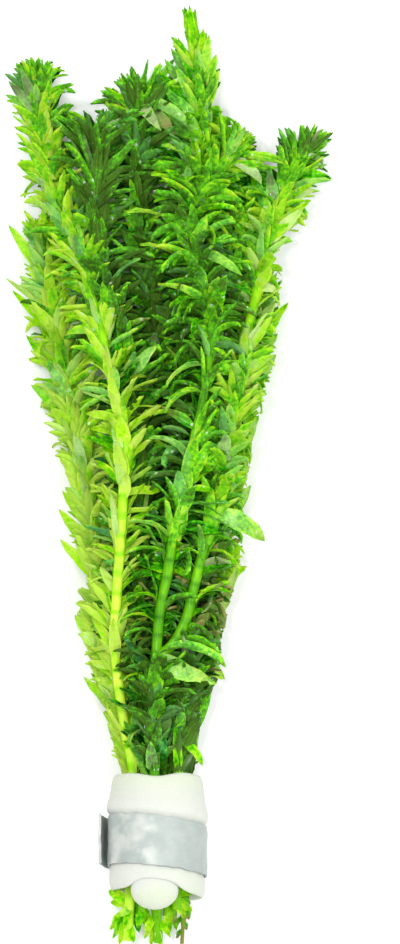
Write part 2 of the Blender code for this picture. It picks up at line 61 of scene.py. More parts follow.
# %% [markdown]
# ## The camera comes first
#
# The bunch lies down and the camera looks down on it from the foot side, ten degrees off
# upright. A long lens from two metres keeps the sides nearly parallel. The picture is 400 by
# 944, and 236 mm of the table fills its height.

# %% The camera
TILT = math.radians(10)
CAMERA_AWAY = 2.0
SEEN_HEIGHT = 0.236
MIDDLE_Z = 15.0
LOOKED_AT = Vector((8.0, -0.5, MIDDLE_Z)) * MM

away = Vector((0, -math.sin(TILT), math.cos(TILT))) * CAMERA_AWAY
bpy.ops.object.camera_add(location=LOOKED_AT + away, rotation=(TILT, 0, 0))
camera = bpy.context.object
camera.data.lens = camera.data.sensor_width * CAMERA_AWAY / SEEN_HEIGHT
camera.data.clip_end = 10
bpy.context.scene.camera = camera
print(f"lens {camera.data.lens:.0f} mm, looking down {90 - math.degrees(TILT):.0f} degrees")

# %% [markdown]
# ## Small helpers for modelling by operators
#
# An operator works on what is selected. So each step first deselects everything, then picks its
# vertices by where they are, as a hand with a mouse would.


# %% Helpers for selecting and finishing
def only(thing):
    """Selects this object alone and makes it the active one."""
    bpy.ops.object.select_all(action="DESELECT")
    thing.select_set(True)
    bpy.context.view_layer.objects.active = thing


def pick_verts(thing, wanted):
    """In edit mode, selects the vertices whose index and place pass the test."""
    bpy.ops.mesh.select_all(action="DESELECT")
    bm = bmesh.from_edit_mesh(thing.data)
    for vert in bm.verts:
        vert.select_set(bool(wanted(vert.index, vert.co)))
    bm.select_flush_mode()
    bmesh.update_edit_mesh(thing.data)


def apply_modifier(thing, kind, **settings):
    only(thing)
    modifier = thing.modifiers.new(kind.lower(), kind)
    for name, value in settings.items():
        setattr(modifier, name, value)
    bpy.ops.object.modifier_apply(modifier=modifier.name)


def coat_with(thing, look):
    thing.data.materials.clear()
    thing.data.materials.append(look)


def triangles(thing):
    return sum(len(face.vertices) - 2 for face in thing.data.polygons)


# %% Helpers for numbers
def mix(low, high, share):
    return low + (high - low) * share


def clamped(value, low=0.0, high=1.0):
    return min(high, max(low, value))


print("a third of the way from 2 to 5 is", mix(2, 5, 1 / 3))

# %% [markdown]
# ## Materials by arithmetic
#
# A procedural material is a small calculation that runs at every point of a surface. Wiring it
# node by node is slow to read, so a socket is wrapped in a class that understands plus, minus
# and times, and every other node comes from one method. The few kinds of node that are wanted
# again and again have a short name of their own.


# %% A socket that takes part in arithmetic
class Wire:
    """A node's output in a material. Arithmetic on it adds Math nodes."""

    def __init__(self, tree, socket=None):
        self.tree = tree
        self.socket = socket

    def node(self, kind, settings=None, values=None, output=0):
        """Adds a node, sets it up, feeds its sockets and returns one of its outputs."""
        made = self.tree.nodes.new("ShaderNode" + kind)
        for name, value in (settings or {}).items():
            if name == "stops":
                self.set_stops(made.color_ramp, value)
            else:
                setattr(made, name, value)
        for name, value in (values or {}).items():
            if isinstance(value, Wire):
                self.tree.links.new(value.socket, made.inputs[name])
            else:
                made.inputs[name].default_value = value
        return Wire(self.tree, made.outputs[output])

    @staticmethod
    def set_stops(ramp, stops):
        while len(ramp.elements) < len(stops):
            ramp.elements.new(0.5)
        for element, (place, colour) in zip(ramp.elements, stops):
            element.position = place
            element.color = (*colour, 1)

    def math(self, operation, *others):
        values = dict(enumerate((self, *others)))
        return self.node("Math", {"operation": operation}, values)

    def __add__(self, other):
        return self.math("ADD", other)

    __radd__ = __add__

    def __mul__(self, other):
        return self.math("MULTIPLY", other)

    __rmul__ = __mul__

    def __sub__(self, other):
        return self.math("SUBTRACT", other)

    def __rsub__(self, other):
        return (self * -1.0) + other

    def band(self, low, high):
        """0 below low, 1 above high, and smooth between them."""
        settings = {"interpolation_type": "SMOOTHSTEP"}
        return self.node("MapRange", settings, {"Value": self, "From Min": low, "From Max": high})

    def colour_mix(self, first, second):
        """The first colour where this wire is 0 and the second where it is 1."""
        settings = {"data_type": "RGBA"}
        return self.node("Mix", settings, {0: self, 6: first, 7: second}, output=2)

    def ramp(self, stops):
        """The colour that the stops give to this wire's number."""
        return self.node("ValToRGB", {"stops": stops}, {0: self})

    def part(self, index):
        """One number of a place: 0 for x, 1 for y, 2 for z."""
        return self.node("SeparateXYZ", None, {0: self}, output=index)

    def clouds(self, scale, detail):
        """Soft noise over a place, with about so many clouds to the metre."""
        return self.node("TexNoise", None, {"Vector": self, "Scale": scale, "Detail": detail})

    def pores(self, scale):
        """0 in the middle of a pore and more towards its walls, about so many to the metre."""
        return self.node("TexVoronoi", None, {"Vector": self, "Scale": scale})

    def relief(self, strength, depth):
        """Bumps that are as high as this wire says."""
        return self.node("Bump", None, {"Height": self, "Strength": strength, "Distance": depth})

    def written(self, name):
        """The number that is written into the mesh under this name."""
        return self.node("Attribute", {"attribute_name": name}, output=2)

    def place(self):
        """The place in Object coordinates, so that a pattern stays put on its piece."""
        return self.node("TexCoord", output=3)


# %% Starting and feeding a material
def rgb(red, green, blue):
    return (red, green, blue, 1.0)


def new_material(name, **fixed):
    """A material with what is the same all over, and a wire to start drawing from."""
    material = bpy.data.materials.new(name)
    material.use_nodes = True
    shader = material.node_tree.nodes["Principled BSDF"]
    for key, value in fixed.items():
        shader.inputs[key.replace("_", " ")].default_value = value
    return material, Wire(material.node_tree), shader


def feed(shader, **wires):
    for key, wire in wires.items():
        wire.tree.links.new(wire.socket, shader.inputs[key.replace("_", " ")])


def report(material):
    print(f"{material.name}: {len(material.node_tree.nodes)} nodes")
    return material


# %% [markdown]
# ## One leaf
#
# A waterweed leaf is a thin blade a centimetre long, widest in its lower half, with a faint
# groove for a midrib and a pointed tip. A curve or a single bent plane would do for a leaf far
# away, but these are seen close by and from their edges. So it is modelled standing up, from a
# grid of a few faces: the rows are narrowed, the rims are pulled forwards, and a copy of the
# sheet becomes its underside. It has to stay light, because it is repeated thousands of times.

# %% The flat leaf
LEAF_LENGTH = 10.0 * MM
LEAF_WIDTH = 3.0 * MM
COLUMNS = 4
ROW_HEIGHTS = (0.0, 0.16, 0.34, 0.54, 0.72, 0.88, 1.0)
ROW_WIDTHS = (0.62, 0.92, 1.0, 0.92, 0.70, 0.38, 0.0)
CHANNEL = 0.42 * MM

rows = len(ROW_HEIGHTS) - 1
bpy.ops.object.select_all(action="DESELECT")
bpy.ops.mesh.primitive_grid_add(
    x_subdivisions=COLUMNS, y_subdivisions=rows, size=1, rotation=(math.pi / 2, 0, 0)
)
leaf = bpy.context.object
leaf.name = "leaf"
leaf.scale = (LEAF_WIDTH, LEAF_LENGTH, 1)
bpy.ops.object.transform_apply(location=False, rotation=True, scale=True)
leaf.data.uv_layers[0].name = "blade"
bpy.ops.object.mode_set(mode="EDIT")
for row, (height, width) in enumerate(zip(ROW_HEIGHTS, ROW_WIDTHS)):
    pick_verts(leaf, lambda index, place: index // (COLUMNS + 1) == row)
    was = (row / rows - 0.5) * LEAF_LENGTH
    bpy.ops.transform.resize(value=(width, 1, 1), center_override=(0, 0, was))
    bpy.ops.transform.translate(value=(0, 0, height * LEAF_LENGTH - was))
print("a blade of", len(leaf.data.polygons), "faces before it has an underside")


# %% The groove
def column(index):
    return index % (COLUMNS + 1)


pick_verts(leaf, lambda index, place: column(index) in (0, COLUMNS) and place.z > 0)
bpy.ops.transform.translate(value=(0, -CHANNEL, 0))
print(f"rims {CHANNEL / MM:.2f} mm above the midrib")

# %% The underside and the closed edge
# The copy is moved one step aside on the UV map, which is how the material knows it later.
THICKNESS = 0.12 * MM
THICK_AT = {2: 1.0, 1: 0.6, 3: 0.6}
BELOW_TIP = 0.99 * LEAF_LENGTH

bpy.ops.mesh.select_all(action="SELECT")
bpy.ops.mesh.duplicate()
bpy.ops.mesh.flip_normals()
bm = bmesh.from_edit_mesh(leaf.data)
blade_map = bm.loops.layers.uv["blade"]
for face in bm.faces:
    if face.select:
        for loop in face.loops:
            loop[blade_map].uv.x += 1
copied = (COLUMNS + 1) * (rows + 1)
for number, share in THICK_AT.items():
    pick_verts(
        leaf,
        lambda index, place: index >= copied and column(index) == number and place.z < BELOW_TIP,
    )
    bpy.ops.transform.translate(value=(0, THICKNESS * share, 0))
bpy.ops.mesh.select_all(action="SELECT")
bpy.ops.mesh.remove_doubles(threshold=0.001 * MM)
bpy.ops.object.mode_set(mode="OBJECT")
bpy.ops.object.shade_smooth_by_angle(angle=math.radians(60))
print("closed leaf:", triangles(leaf), "triangles")

# %% [markdown]
# ## The leaf in different bends
#
# On the plant a young leaf points forwards and an old one arches over until its tip looks back
# down the stem, and many turn on their way to face the light. Their rims are never quite
# straight. Bending every leaf on its own would take minutes, so a small wardrobe is made and
# each leaf on a stem is a copy of the nearest one. Random moves of the rim, crumples from a
# Displace modifier, then Twist and Bend from Simple Deform make its leaves.

# %% A wardrobe of bent leaves
BENDS = (12, 36, 62, 92, 128)
TWISTS = (-62, -20, 20, 62)
RIM_WANDERS = 0.36 * MM
CRUMPLE = 1.0 * MM
CRUMPLE_SIZES = (2.6, 5.0)


def on_rim(index, place):
    """Whether a vertex of the flat leaf lies on its rim. The base is left as it is."""
    row = min(range(rows), key=lambda row: abs(ROW_HEIGHTS[row] * LEAF_LENGTH - place.z))
    return place.z > 0 and abs(place.x) > 0.9 * ROW_WIDTHS[row] * LEAF_WIDTH / 2


def bent_leaf(bend, twist):
    made = leaf.copy()
    made.data = leaf.data.copy()
    bpy.context.scene.collection.objects.link(made)
    only(made)
    own_number = bend * 7 + twist
    bpy.ops.object.mode_set(mode="EDIT")
    pick_verts(made, on_rim)
    bpy.ops.transform.vertex_random(offset=RIM_WANDERS, seed=own_number + 100)
    bpy.ops.object.mode_set(mode="OBJECT")
    crumples = bpy.data.textures.new("crumple", "CLOUDS")
    crumples.noise_scale = mix(*CRUMPLE_SIZES, own_number % 10 / 9) * MM
    apply_modifier(made, "DISPLACE", texture=crumples, direction="Y", strength=CRUMPLE)
    for method, axis, angle in (("TWIST", "Z", twist), ("BEND", "X", bend)):
        settings = {"deform_method": method, "deform_axis": axis, "angle": math.radians(angle)}
        apply_modifier(made, "SIMPLE_DEFORM", **settings)
    return made


wardrobe = {(bend, twist): bent_leaf(bend, twist) for bend in BENDS for twist in TWISTS}
print(len(wardrobe), "leaves in the wardrobe")


# %% Their midribs, to test where a leaf would reach
def midrib_vertex(share):
    """The index of the leaf's vertex on its midrib, this share of the way to the tip."""
    place = Vector((0, 0, share * LEAF_LENGTH))
    return min(leaf.data.vertices, key=lambda vert: (vert.co - place).length).index


MIDRIB = [midrib_vertex(share) for share in ROW_HEIGHTS[2:]]
midribs = {
    key: [made.data.vertices[index].co.copy() for index in MIDRIB] for key, made in wardrobe.items()
}
print("a midrib has", len(MIDRIB), "places, the last of them the tip")

# %% [markdown]
# ## The centre lines of the stems
#
# Each stem follows a few points in millimetres, from its cut end to its tip. They are the ones
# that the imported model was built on, so stems and leaves land where the model has them. Between
# two points the line is worked out from the four points around it. So it passes smoothly through
# all of them, where a curve object would also need handles at each.

# %% The routes
ROUTES = {
    "far_left": [
        (-10, -117.2, 8), (-9.6, -109.7, 11.2), (-9, -96.1, 12.8), (-8.7, -76.3, 12.8),
        (-10.6, -66, 14.8), (-12.2, -54.9, 17), (-13.2, -43.9, 19), (-12.8, -34.1, 21),
        (-11.5, -14.2, 23.5), (-10.8, 5.9, 24.5), (-13.5, 18.2, 24), (-16.8, 34.2, 22.5),
        (-22.5, 54.1, 18), (-27, 66, 15), (-31, 81.9, 11), (-33.2, 99.5, 9.1),
    ],
    "left_edge": [
        (-8.4, -109.8, 7), (-8.2, -96, 7), (-9, -77, 7.2), (-11.5, -62.4, 8.6),
        (-15.5, -42.2, 9.4), (-17.5, -22, 9.6), (-20, -6.7, 9.6), (-23, 11, 9.6),
        (-26.5, 26.3, 9.6), (-29, 41.5, 9.4), (-30.8, 56.5, 9.2),
    ],
    "left_bushy": [
        (-6.4, -112.5, 10.8), (-5.2, -96.1, 12.8), (-5, -76.4, 13.2), (-6.5, -58.2, 13.6),
        (-7, -37.9, 14), (-6.5, -22.8, 14.6), (-6.2, -7.6, 15.2), (-7, 7.4, 16), (-9, 17.5, 16.4),
        (-12, 30.3, 16.4), (-15, 43.1, 16.2), (-17.5, 58.4, 15.4), (-18.8, 73.8, 14.2),
        (-18.2, 86.5, 13),
    ],
    "centre_back": [
        (-2, -106.5, 4.4), (-1.6, -96, 4.6), (-1.5, -77, 4.8), (-3, -57.2, 7.6), (-4, -42.1, 9),
        (-3.2, -26.9, 9.2), (-2.5, -6.6, 9.2), (-2.5, 13.8, 9.2), (-3.2, 31.4, 9.6),
        (-5, 46.6, 10), (-7, 61.8, 10), (-7.5, 77, 9.8), (-7.2, 94, 9.4),
    ],
    "tallest": [
        (0, -111.5, 10), (-0.4, -95.9, 10.6), (-0.6, -76.1, 10.8), (0.2, -57.9, 11.6),
        (2, -37.4, 11.4), (3.6, -17, 11.2), (4.6, 3.2, 11.6), (5.4, 18.3, 12.2),
        (5.8, 33.4, 12.8), (5.6, 48.6, 13.2), (5.8, 63.8, 13.2), (7.2, 76.6, 12.6),
        (8.4, 88, 11.4), (8, 99, 10.2), (6.4, 111.5, 9.2),
    ],
    "centre_front": [
        (-2.5, -117.5, 8), (-2.8, -110.6, 12.4), (-2.8, -104, 15.3), (-2.8, -96.9, 17),
        (-3.2, -77.2, 17.8), (-3.8, -59.3, 20), (-2.8, -46.9, 22), (-2, -37, 23),
        (-0.2, -28.3, 24.5), (1.2, -19.7, 26), (3.5, -11, 26.8), (5.2, -2.2, 27.2),
        (6.8, 6.7, 27.2), (8.8, 15.6, 27), (10.2, 25.9, 26.2), (10.2, 38.9, 24.6),
        (8, 51.9, 22.4), (6.4, 61.9, 20.6), (8.6, 70.5, 18.2), (12.6, 76.8, 15.6),
        (16.6, 82, 13.4),
    ],
    "branch_right": [
        (-2.6, -48, 21.8), (0.35, -46, 21.7), (2.6, -42.9, 21.6), (4.8, -38, 21.8),
        (6.6, -30.5, 22.4), (8.8, -21.8, 23), (11.4, -11.7, 23.4), (14.2, 1, 23.4),
        (16.5, 13.7, 23.2), (18.4, 24, 22.6), (20, 34.3, 21.6), (21.8, 43.5, 20),
        (23.5, 54.1, 17.5), (25.5, 63.6, 14.5), (29, 71.7, 11.5), (33.6, 81.5, 9),
    ],
    "right_edge": [
        (3.5, -118.1, 7), (4, -109.5, 9.4), (4.2, -95.7, 10.2), (4.2, -75.9, 10.2),
        (6.2, -57.5, 9.6), (8.2, -42.1, 9.2), (10.8, -26.9, 9.2), (13.8, -11.6, 9.2),
        (16.8, 3.6, 9.2), (19.2, 18.8, 9.2), (21, 31.4, 9.4), (22.4, 42, 9.4),
    ],
    "right_short": [
        (2.2, -110.3, 13), (2.4, -96.6, 14.8), (2.6, -76.8, 15.4), (3.8, -58.7, 16.2),
        (5.8, -38.3, 16.6), (7.8, -23.1, 16.8), (9.8, -5.3, 17), (11.8, 12.4, 17.2),
        (13.2, 30.3, 16.6), (14.6, 45.7, 15.4), (15.4, 57.3, 14.2),
    ],
}


def node_of(shoot):
    return shoot if shoot.startswith("branch") else "shoot_" + shoot


print(len(ROUTES), "shoots, the first of them", node_of("far_left"))


# %% Walking along a route
class Route:
    """A smooth line through a stem's points, walked by the distance from its cut end."""

    STEPS = 14

    def __init__(self, points):
        points = [Vector(point) * MM for point in points]
        ends = [2 * points[0] - points[1], *points, 2 * points[-1] - points[-2]]
        self.places = []
        for a, b, c, d in zip(ends, ends[1:], ends[2:], ends[3:]):
            for step in range(self.STEPS):
                t = step / self.STEPS
                bend = (2 * a - 5 * b + 4 * c - d) * t**2 + (3 * (b - c) + d - a) * t**3
                self.places.append(0.5 * (2 * b + (c - a) * t + bend))
        self.places.append(points[-1])
        self.walked = [0.0]
        for here, there in zip(self.places, self.places[1:]):
            self.walked.append(self.walked[-1] + (there - here).length)
        self.length = self.walked[-1]
        self.places_as_array = np.array(self.places)

    def at(self, distance):
        """The place there, and the directions along the stem, up and to the right."""
        index = int(np.searchsorted(self.walked, distance)) - 1
        index = min(max(index, 0), len(self.places) - 2)
        here, there = self.places[index], self.places[index + 1]
        share = (distance - self.walked[index]) / (there - here).length
        along = (there - here).normalized()
        right = along.cross(Vector((0, 0, 1))).normalized()
        return here.lerp(there, share), along, right.cross(along), right

    def where_y_passes(self, y):
        return next(walked for place, walked in zip(self.places, self.walked) if place.y > y)

    def nearest_step(self, place):
        """The step of the line that is nearest to a place, and how far off it is, squared."""
        gaps = ((self.places_as_array - np.array(place)) ** 2).sum(1)
        step = int(gaps.argmin())
        return step, gaps[step]


routes = {name: Route(points) for name, points in ROUTES.items()}
print("stem lengths in mm:", {name: round(route.length / MM) for name, route in routes.items()})

# %% [markdown]
# ## How each shoot grows
#
# On the plant, leaves sit in whorls of four to six, a few millimetres apart, and crowd together
# at the tip. Here a whorl starts with eight, near the tip with ten and in a closed bud with
# three, because leaves that would reach out of the bunch or hide a bare stem are left out again.
# Every shoot has its own look: how far its leaves lean from the stem, how much they arch, how
# light their green is from the foot to the tip, and where its stem lies bare to the camera.

# %% The habit of each shoot
# lean, arch: how far its leaves lean from the stem and how far they bend over, in degrees
# length, width: of its leaves, in mm
# crown: how many mm of the tip it takes, length of its leaves, how far the lowest lean and how
#   much more those at the sides do
# tone and painted light: y in mm and how light the leaves are there, their own tone and painted
#   light and shade together; spread: how much they differ by chance
# bare: from y to y, the share of the leaves towards the camera that are left
# pale: the share of leaves that have turned pale; ages: y and how brown the leaves are there
# faces_up: how far the leaves turn their faces to the sky
# top: how high in the picture they may reach; spire: mm at the very tip that are a closed bud
USUAL = dict(pale=0.02, bare=(), ages=[(0, 0.12)], faces_up=0.3, spread=0.14, top=999, spire=0)
HABITS = {
    "far_left": dict(
        USUAL, lean=13, arch=26, length=9.8, width=2.1, crown=(14, 11.0, 25, 10), pale=0.01,
        tones_and_painted_light=[(-76, 1.34), (-40, 1.46), (20, 1.06), (60, 0.78), (78, 0.80), (92, 0.42)],
        bare=[(-77, -8, 0.10), (-8, 46, 0.3)], faces_up=0.65, spread=0.24,
    ),
    "left_edge": dict(
        USUAL, lean=16, arch=30, length=11.6, width=2.4, crown=(12, 11.0, 26, 8),
        tones_and_painted_light=[(-76, 1.48), (-36, 1.6), (0, 1.36), (30, 1.06), (56, 0.84)],
        faces_up=0.65, spread=0.24,
    ),
    "left_bushy": dict(
        USUAL, lean=28, arch=36, length=12.0, width=2.4, crown=(26, 15.0, 26, 28), pale=0.01,
        tones_and_painted_light=[(-76, 0.20), (-20, 0.08), (30, 0.12), (60, 0.15), (86, 0.04)], top=91,
    ),
    "centre_back": dict(
        USUAL, lean=30, arch=40, length=12.0, width=2.4, crown=(18, 13.0, 34, 20),
        tones_and_painted_light=[(-76, 0.14), (-20, 0.0), (40, 0.05), (70, 0.12), (94, 0.26)],
    ),
    "tallest": dict(
        USUAL, lean=24, arch=30, length=12.0, width=2.5, crown=(16, 10.5, 20, 12),
        tones_and_painted_light=[(-76, 0.14), (0, 0.12), (60, 0.22), (84, 0.46), (111, 0.64)], spire=7.5,
    ),
    "centre_front": dict(
        USUAL, lean=36, arch=74, length=11.0, width=2.7, crown=(15, 12.5, 30, 14), pale=0.0,
        tones_and_painted_light=[(-76, 0.06), (-20, 0.44), (30, 0.34), (58, 0.24), (70, 0.52), (82, 0.56)],
        bare=[(-52, -26, 0.0), (-26, 30, 0.3)],
    ),
    "branch_right": dict(
        USUAL, lean=32, arch=50, length=11.0, width=2.6, crown=(15, 12.5, 32, 12),
        tones_and_painted_light=[(-46, 0.28), (-14, 0.5), (0, 0.70), (40, 0.84), (68, 0.60), (80, 0.28)],
        bare=[(-48, -30, 0.0), (-30, -8, 0.25), (24, 48, 0.15)],
    ),
    "right_edge": dict(
        USUAL, lean=38, arch=56, length=11.4, width=2.8, crown=(10, 11.0, 34, 8), pale=0.12,
        tones_and_painted_light=[(-76, -0.2), (-48, 0.1), (-40, 0.20), (-24, 0.75), (-10, 1.0), (42, 0.78)],
        ages=[(-54, 0.12), (-46, 0.66), (-24, 0.66), (-16, 0.12)], faces_up=0.6,
    ),
    "right_short": dict(
        USUAL, lean=34, arch=56, length=11.4, width=2.6, crown=(12, 11.5, 34, 14),
        tones_and_painted_light=[(-76, -0.2), (-48, 0.0), (-36, 0.08), (-16, 0.30), (57, 0.22)],
        ages=[(-50, 0.12), (-44, 0.62), (-28, 0.62), (-20, 0.12)],
    ),
}
print("pale leaves are likeliest on", max(HABITS, key=lambda name: HABITS[name]["pale"]))

# %% Stems and whorls
FOAM_TOP = -78.3 * MM
STEM_RADIUS = 1.3 * MM
STEM_TIP_RADIUS = 0.75 * MM
TAPER_FROM = 0.55
SPLIT_FOOT = "right_edge"
SPLIT_OVER = 6 * MM
SPLIT_RADIUS, SPLIT_UP_TO, DRIED_UP_TO = 0.36, 0.7, 1.6
FORKED_OFF = "branch_right"
CLEAR_OF_FORK = 5 * MM
WHORL_GAP = 2.4 * MM
TIP_GAP = 0.8 * MM
GAP_GROWS = 1.13


def stem_radius(name, distance):
    """Thinner towards the tip, and at the one foot that has dried and split."""
    taper = clamped((distance / routes[name].length - TAPER_FROM) / (1 - TAPER_FROM))
    radius = mix(STEM_RADIUS, STEM_TIP_RADIUS, taper)
    if name == SPLIT_FOOT:
        radius *= mix(SPLIT_RADIUS, 1.0, clamped(distance / SPLIT_OVER - SPLIT_UP_TO))
    return radius


def whorls(name):
    """Distances of the whorls from the cut end, from the tip down to the foam or the fork."""
    route = routes[name]
    lowest = CLEAR_OF_FORK if name == FORKED_OFF else route.where_y_passes(FOAM_TOP)
    gap, distance, found = TIP_GAP, route.length, []
    while distance > lowest:
        found.append(distance)
        gap = min(gap * GAP_GROWS, WHORL_GAP)
        distance -= gap
    return found


print("whorls:", sum(len(whorls(name)) for name in ROUTES))

# %% [markdown]
# ## How far the bunch reaches
#
# Hands have pressed the bunch together, so its leaves end along one ragged outline. Pressing
# thousands of leaves together in a simulation would be slow and hard to steer. So the outline
# was measured as the camera sees it, in millimetres from the middle of the picture's height. A
# leaf that would stand out past it is tried again, a little shorter and leaning less.

# %% The outline of the bunch
# height in the picture, left side, right side
SIDES = [
    (117, 4.0, 6.5), (113, 2.0, 6.5), (109, -0.2, 10.8), (105, -34.8, 11.8), (101, -40.8, 12.8),
    (93, -41.5, 13.0), (89, -39.8, 36.2), (85, -38.0, 41.0), (77, -37.5, 40.0), (73, -36.0, 41.2),
    (69, -37.0, 36.5), (61, -36.5, 33.5), (53, -36.0, 28.2), (45, -37.0, 28.0), (37, -35.3, 27.2),
    (25, -34.0, 25.8), (17, -32.5, 23.2), (9, -30.2, 20.6), (1, -26.2, 19.6), (-7, -24.5, 18.5),
    (-15, -25.0, 18.5), (-23, -21.2, 18.0), (-35, -22.5, 14.2), (-43, -20.5, 13.0),
    (-51, -19.5, 12.5), (-59, -16.0, 8.2), (-67, -13.8, 6.8), (-79, -12.5, 8.8),
]
# place across the picture, top
TOPS = [
    (-42, 100.5), (-37, 103.2), (-34, 104.5), (-29, 102.5), (-24, 99.0), (-22, 93.0), (-19, 93.5),
    (-15, 97.2), (-11, 100.8), (-7, 102.8), (-3, 104), (-1, 108), (1, 111.0), (3, 115.5),
    (5, 117.8), (7.5, 116), (9, 111), (11, 108.5), (13.2, 102), (14, 89), (20, 85.5), (22, 84),
    (23, 78.5), (26.6, 78.5), (27.4, 85.5), (33, 86.5), (37, 88), (41, 85),
]
STANDS_OUT = 0.8 * MM
EDGE = 5 * MM


def seen_height(place):
    """How high a place is in the picture, because the camera looks on from the foot side."""
    return place.y * math.cos(TILT) + (place.z - LOOKED_AT.z) * math.sin(TILT)


def read_off(table, key, which=1):
    """Reads a table at a distance, which may lie between two of its lines of millimetres."""
    lines = sorted(table)
    keys = [line[0] for line in lines]
    return float(np.interp(key / MM, keys, [line[which] for line in lines]))


def sides(place):
    """How far left and right the bunch reaches at the height of this place."""
    height = seen_height(place)
    return read_off(SIDES, height, 1) * MM, read_off(SIDES, height, 2) * MM


left, right = sides(Vector((0, 86, MIDDLE_Z)) * MM)
print(f"widest at the crowns, {(right - left) / MM:.1f} mm")

# %% Keeping leaves inside it
def near_side(place):
    """1 at the left or right outline of the bunch, 0 from 5 mm inside it."""
    left, right = sides(place)
    return clamped(1 - min(place.x - left, right - place.x) / EDGE)


def inside(place, top):
    if seen_height(place) > top * MM:
        return False
    left, right = sides(place)
    if not left - STANDS_OUT < place.x < right + STANDS_OUT:
        return False
    return seen_height(place) < read_off(TOPS, place.x) * MM + STANDS_OUT


print("the middle of the picture is inside it:", inside(LOOKED_AT, USUAL["top"]))

# %% [markdown]
# ## Placing the leaves
#
# Each leaf is a copy of one in the wardrobe with a mesh of its own. It is stood on the side of
# its stem, leaned out, rolled a little so that its face turns up, and scaled. Particles or
# instances would be quicker to set up, but they can't be fitted one by one to the outline. A few
# numbers written into its mesh tell the material how the leaf looks: its tone together with
# painted light and shade, age for brown, pale for cream, and a painted blueish sheen that stands
# for the reflection of a film of water. All leaves of a shoot are then joined into one piece.


# %% One leaf
def nearest(choices, wanted):
    return min(choices, key=lambda choice: abs(choice - wanted))


def write_number(mesh, name, value):
    attribute = mesh.attributes.new(name, "FLOAT", "POINT")
    values = np.broadcast_to(np.float32(value), len(mesh.vertices))
    attribute.data.foreach_set("value", np.ascontiguousarray(values))


class Leaf:
    """Where a leaf goes, before it is made: its base, where it heads and its upper side."""

    def __init__(self, base, heading, upper, bend, twist, length, width):
        heading = heading.normalized()
        upper = (upper - heading * upper.dot(heading)).normalized()
        turn = Matrix((heading.cross(upper), -upper, heading)).transposed().to_4x4()
        long = length / LEAF_LENGTH
        size = Matrix.Diagonal((width / LEAF_WIDTH, long, long, 1))
        self.worn = nearest(BENDS, bend), nearest(TWISTS, twist)
        self.matrix = Matrix.Translation(base) @ turn @ size
        self.midrib = [self.matrix @ place for place in midribs[self.worn]]
        self.tip = self.midrib[-1]

    def make(self, light, age=0.0, pale=0.0, cool=0.0):
        made = wardrobe[self.worn].copy()
        made.data = wardrobe[self.worn].data.copy()
        made.data.transform(self.matrix)
        numbers = {"light": light, "age": age, "pale": pale, "cool": cool}
        for name, value in numbers.items():
            write_number(made.data, name, value)
        bpy.context.scene.collection.objects.link(made)
        return made


# %% A leaf on a stem
SUNK_IN = 0.8


def foothold(name, distance, around):
    """A leaf's base just under the skin of a stem, and the directions outwards and along."""
    place, along, up, right = routes[name].at(distance)
    out = math.cos(around) * up + math.sin(around) * right
    return place + out * stem_radius(name, distance) * SUNK_IN, out, along


def leaf_on_stem(name, distance, around, lean, arch, length, width, roll):
    """A leaf at this angle around the stem, where 0 is up and 90 degrees is to the right."""
    base, out, along = foothold(name, distance, around)
    heading = math.cos(lean) * along + math.sin(lean) * out
    upper = math.sin(lean) * along - math.cos(lean) * out
    to_sky = Vector((0, 0, 1))
    to_sky = (to_sky - heading * to_sky.dot(heading)).normalized()
    turn = math.atan2(heading.dot(upper.cross(to_sky)), upper.dot(to_sky))
    turn = (turn if abs(turn) < math.pi / 2 else turn - math.copysign(math.pi, turn)) * roll
    # half of the turn is at the base, and the leaf twists by as much again towards its tip
    upper = Matrix.Rotation(turn * 0.5, 3, heading) @ upper
    return Leaf(base, heading, upper, math.degrees(arch), math.degrees(turn) * 0.5, length, width)


trial = leaf_on_stem("tallest", 100 * MM, 0, 1, 1, LEAF_LENGTH, LEAF_WIDTH, 0)
print("a leaf on the tallest stem would end at", [round(value / MM) for value in trial.tip])

# %% [markdown]
# Three things decide which leaves go. Where a stem lies bare in front, leaves that face the
# camera are mostly left out, and no neighbour's leaf may cross it. Leaves that would grow into
# the table are turned out to the sides. Slow noise along each stem lets neighbours lean and
# arch alike, so they form tufts as wet leaves do.

# %% Which leaves go
BARE_STEMS = ("far_left", "centre_front", "branch_right")
CLEAR_OF_STEM = 1.5 * MM
SIDE = math.radians(78)
PUSHED_UP = 0.55


def crosses_bare_stem(placed, name):
    """Whether the leaf goes through a neighbour's stem that lies bare."""
    for other in BARE_STEMS:
        if other != name:
            for place in placed.midrib:
                if routes[other].nearest_step(place)[1] < CLEAR_OF_STEM**2:
                    return True
    return False


def fits(placed, name):
    top = HABITS[name]["top"]
    within = all(inside(place, top) for place in placed.midrib[1:])
    return within and not crosses_bare_stem(placed, name)


def kept_share(name, y, around):
    """Where a stem lies bare, only a few of the leaves that face the camera are left."""
    if math.cos(around) > 0.0:
        for low, high, kept in HABITS[name]["bare"]:
            if low * MM < y < high * MM:
                return kept
    return 1.0


def splayed(around):
    """Turns the leaves that would grow into the table out to the sides."""
    off_up = (around + math.pi) % (2 * math.pi) - math.pi
    below = max(0.0, abs(off_up) - SIDE)
    return math.copysign(abs(off_up) - below * PUSHED_UP, off_up), below / (math.pi - SIDE)


print("the trial leaf fits:", fits(trial, "tallest"))

# %% A whorl and how its leaves stand
# what the leaves of all shoots share, leans and arches in degrees
CLUMP = 7 * MM
OPENS_OVER = 34 * MM
LEAN_MORE_AT_SIDES = 22
LEAN_MORE_BELOW = 14
LEAN_DRIFTS, ARCH_DRIFTS, LENGTH_DRIFTS, LIGHT_DRIFTS = 0.42, 24, 0.16, 0.22
TIP_LEAN, CROWN_ARCH = 5, 18
OUT_OF_FOAM = (14, 20)
OVER_BARE_STEM = (9, 18)
IN_SPIRE = (2, 6)
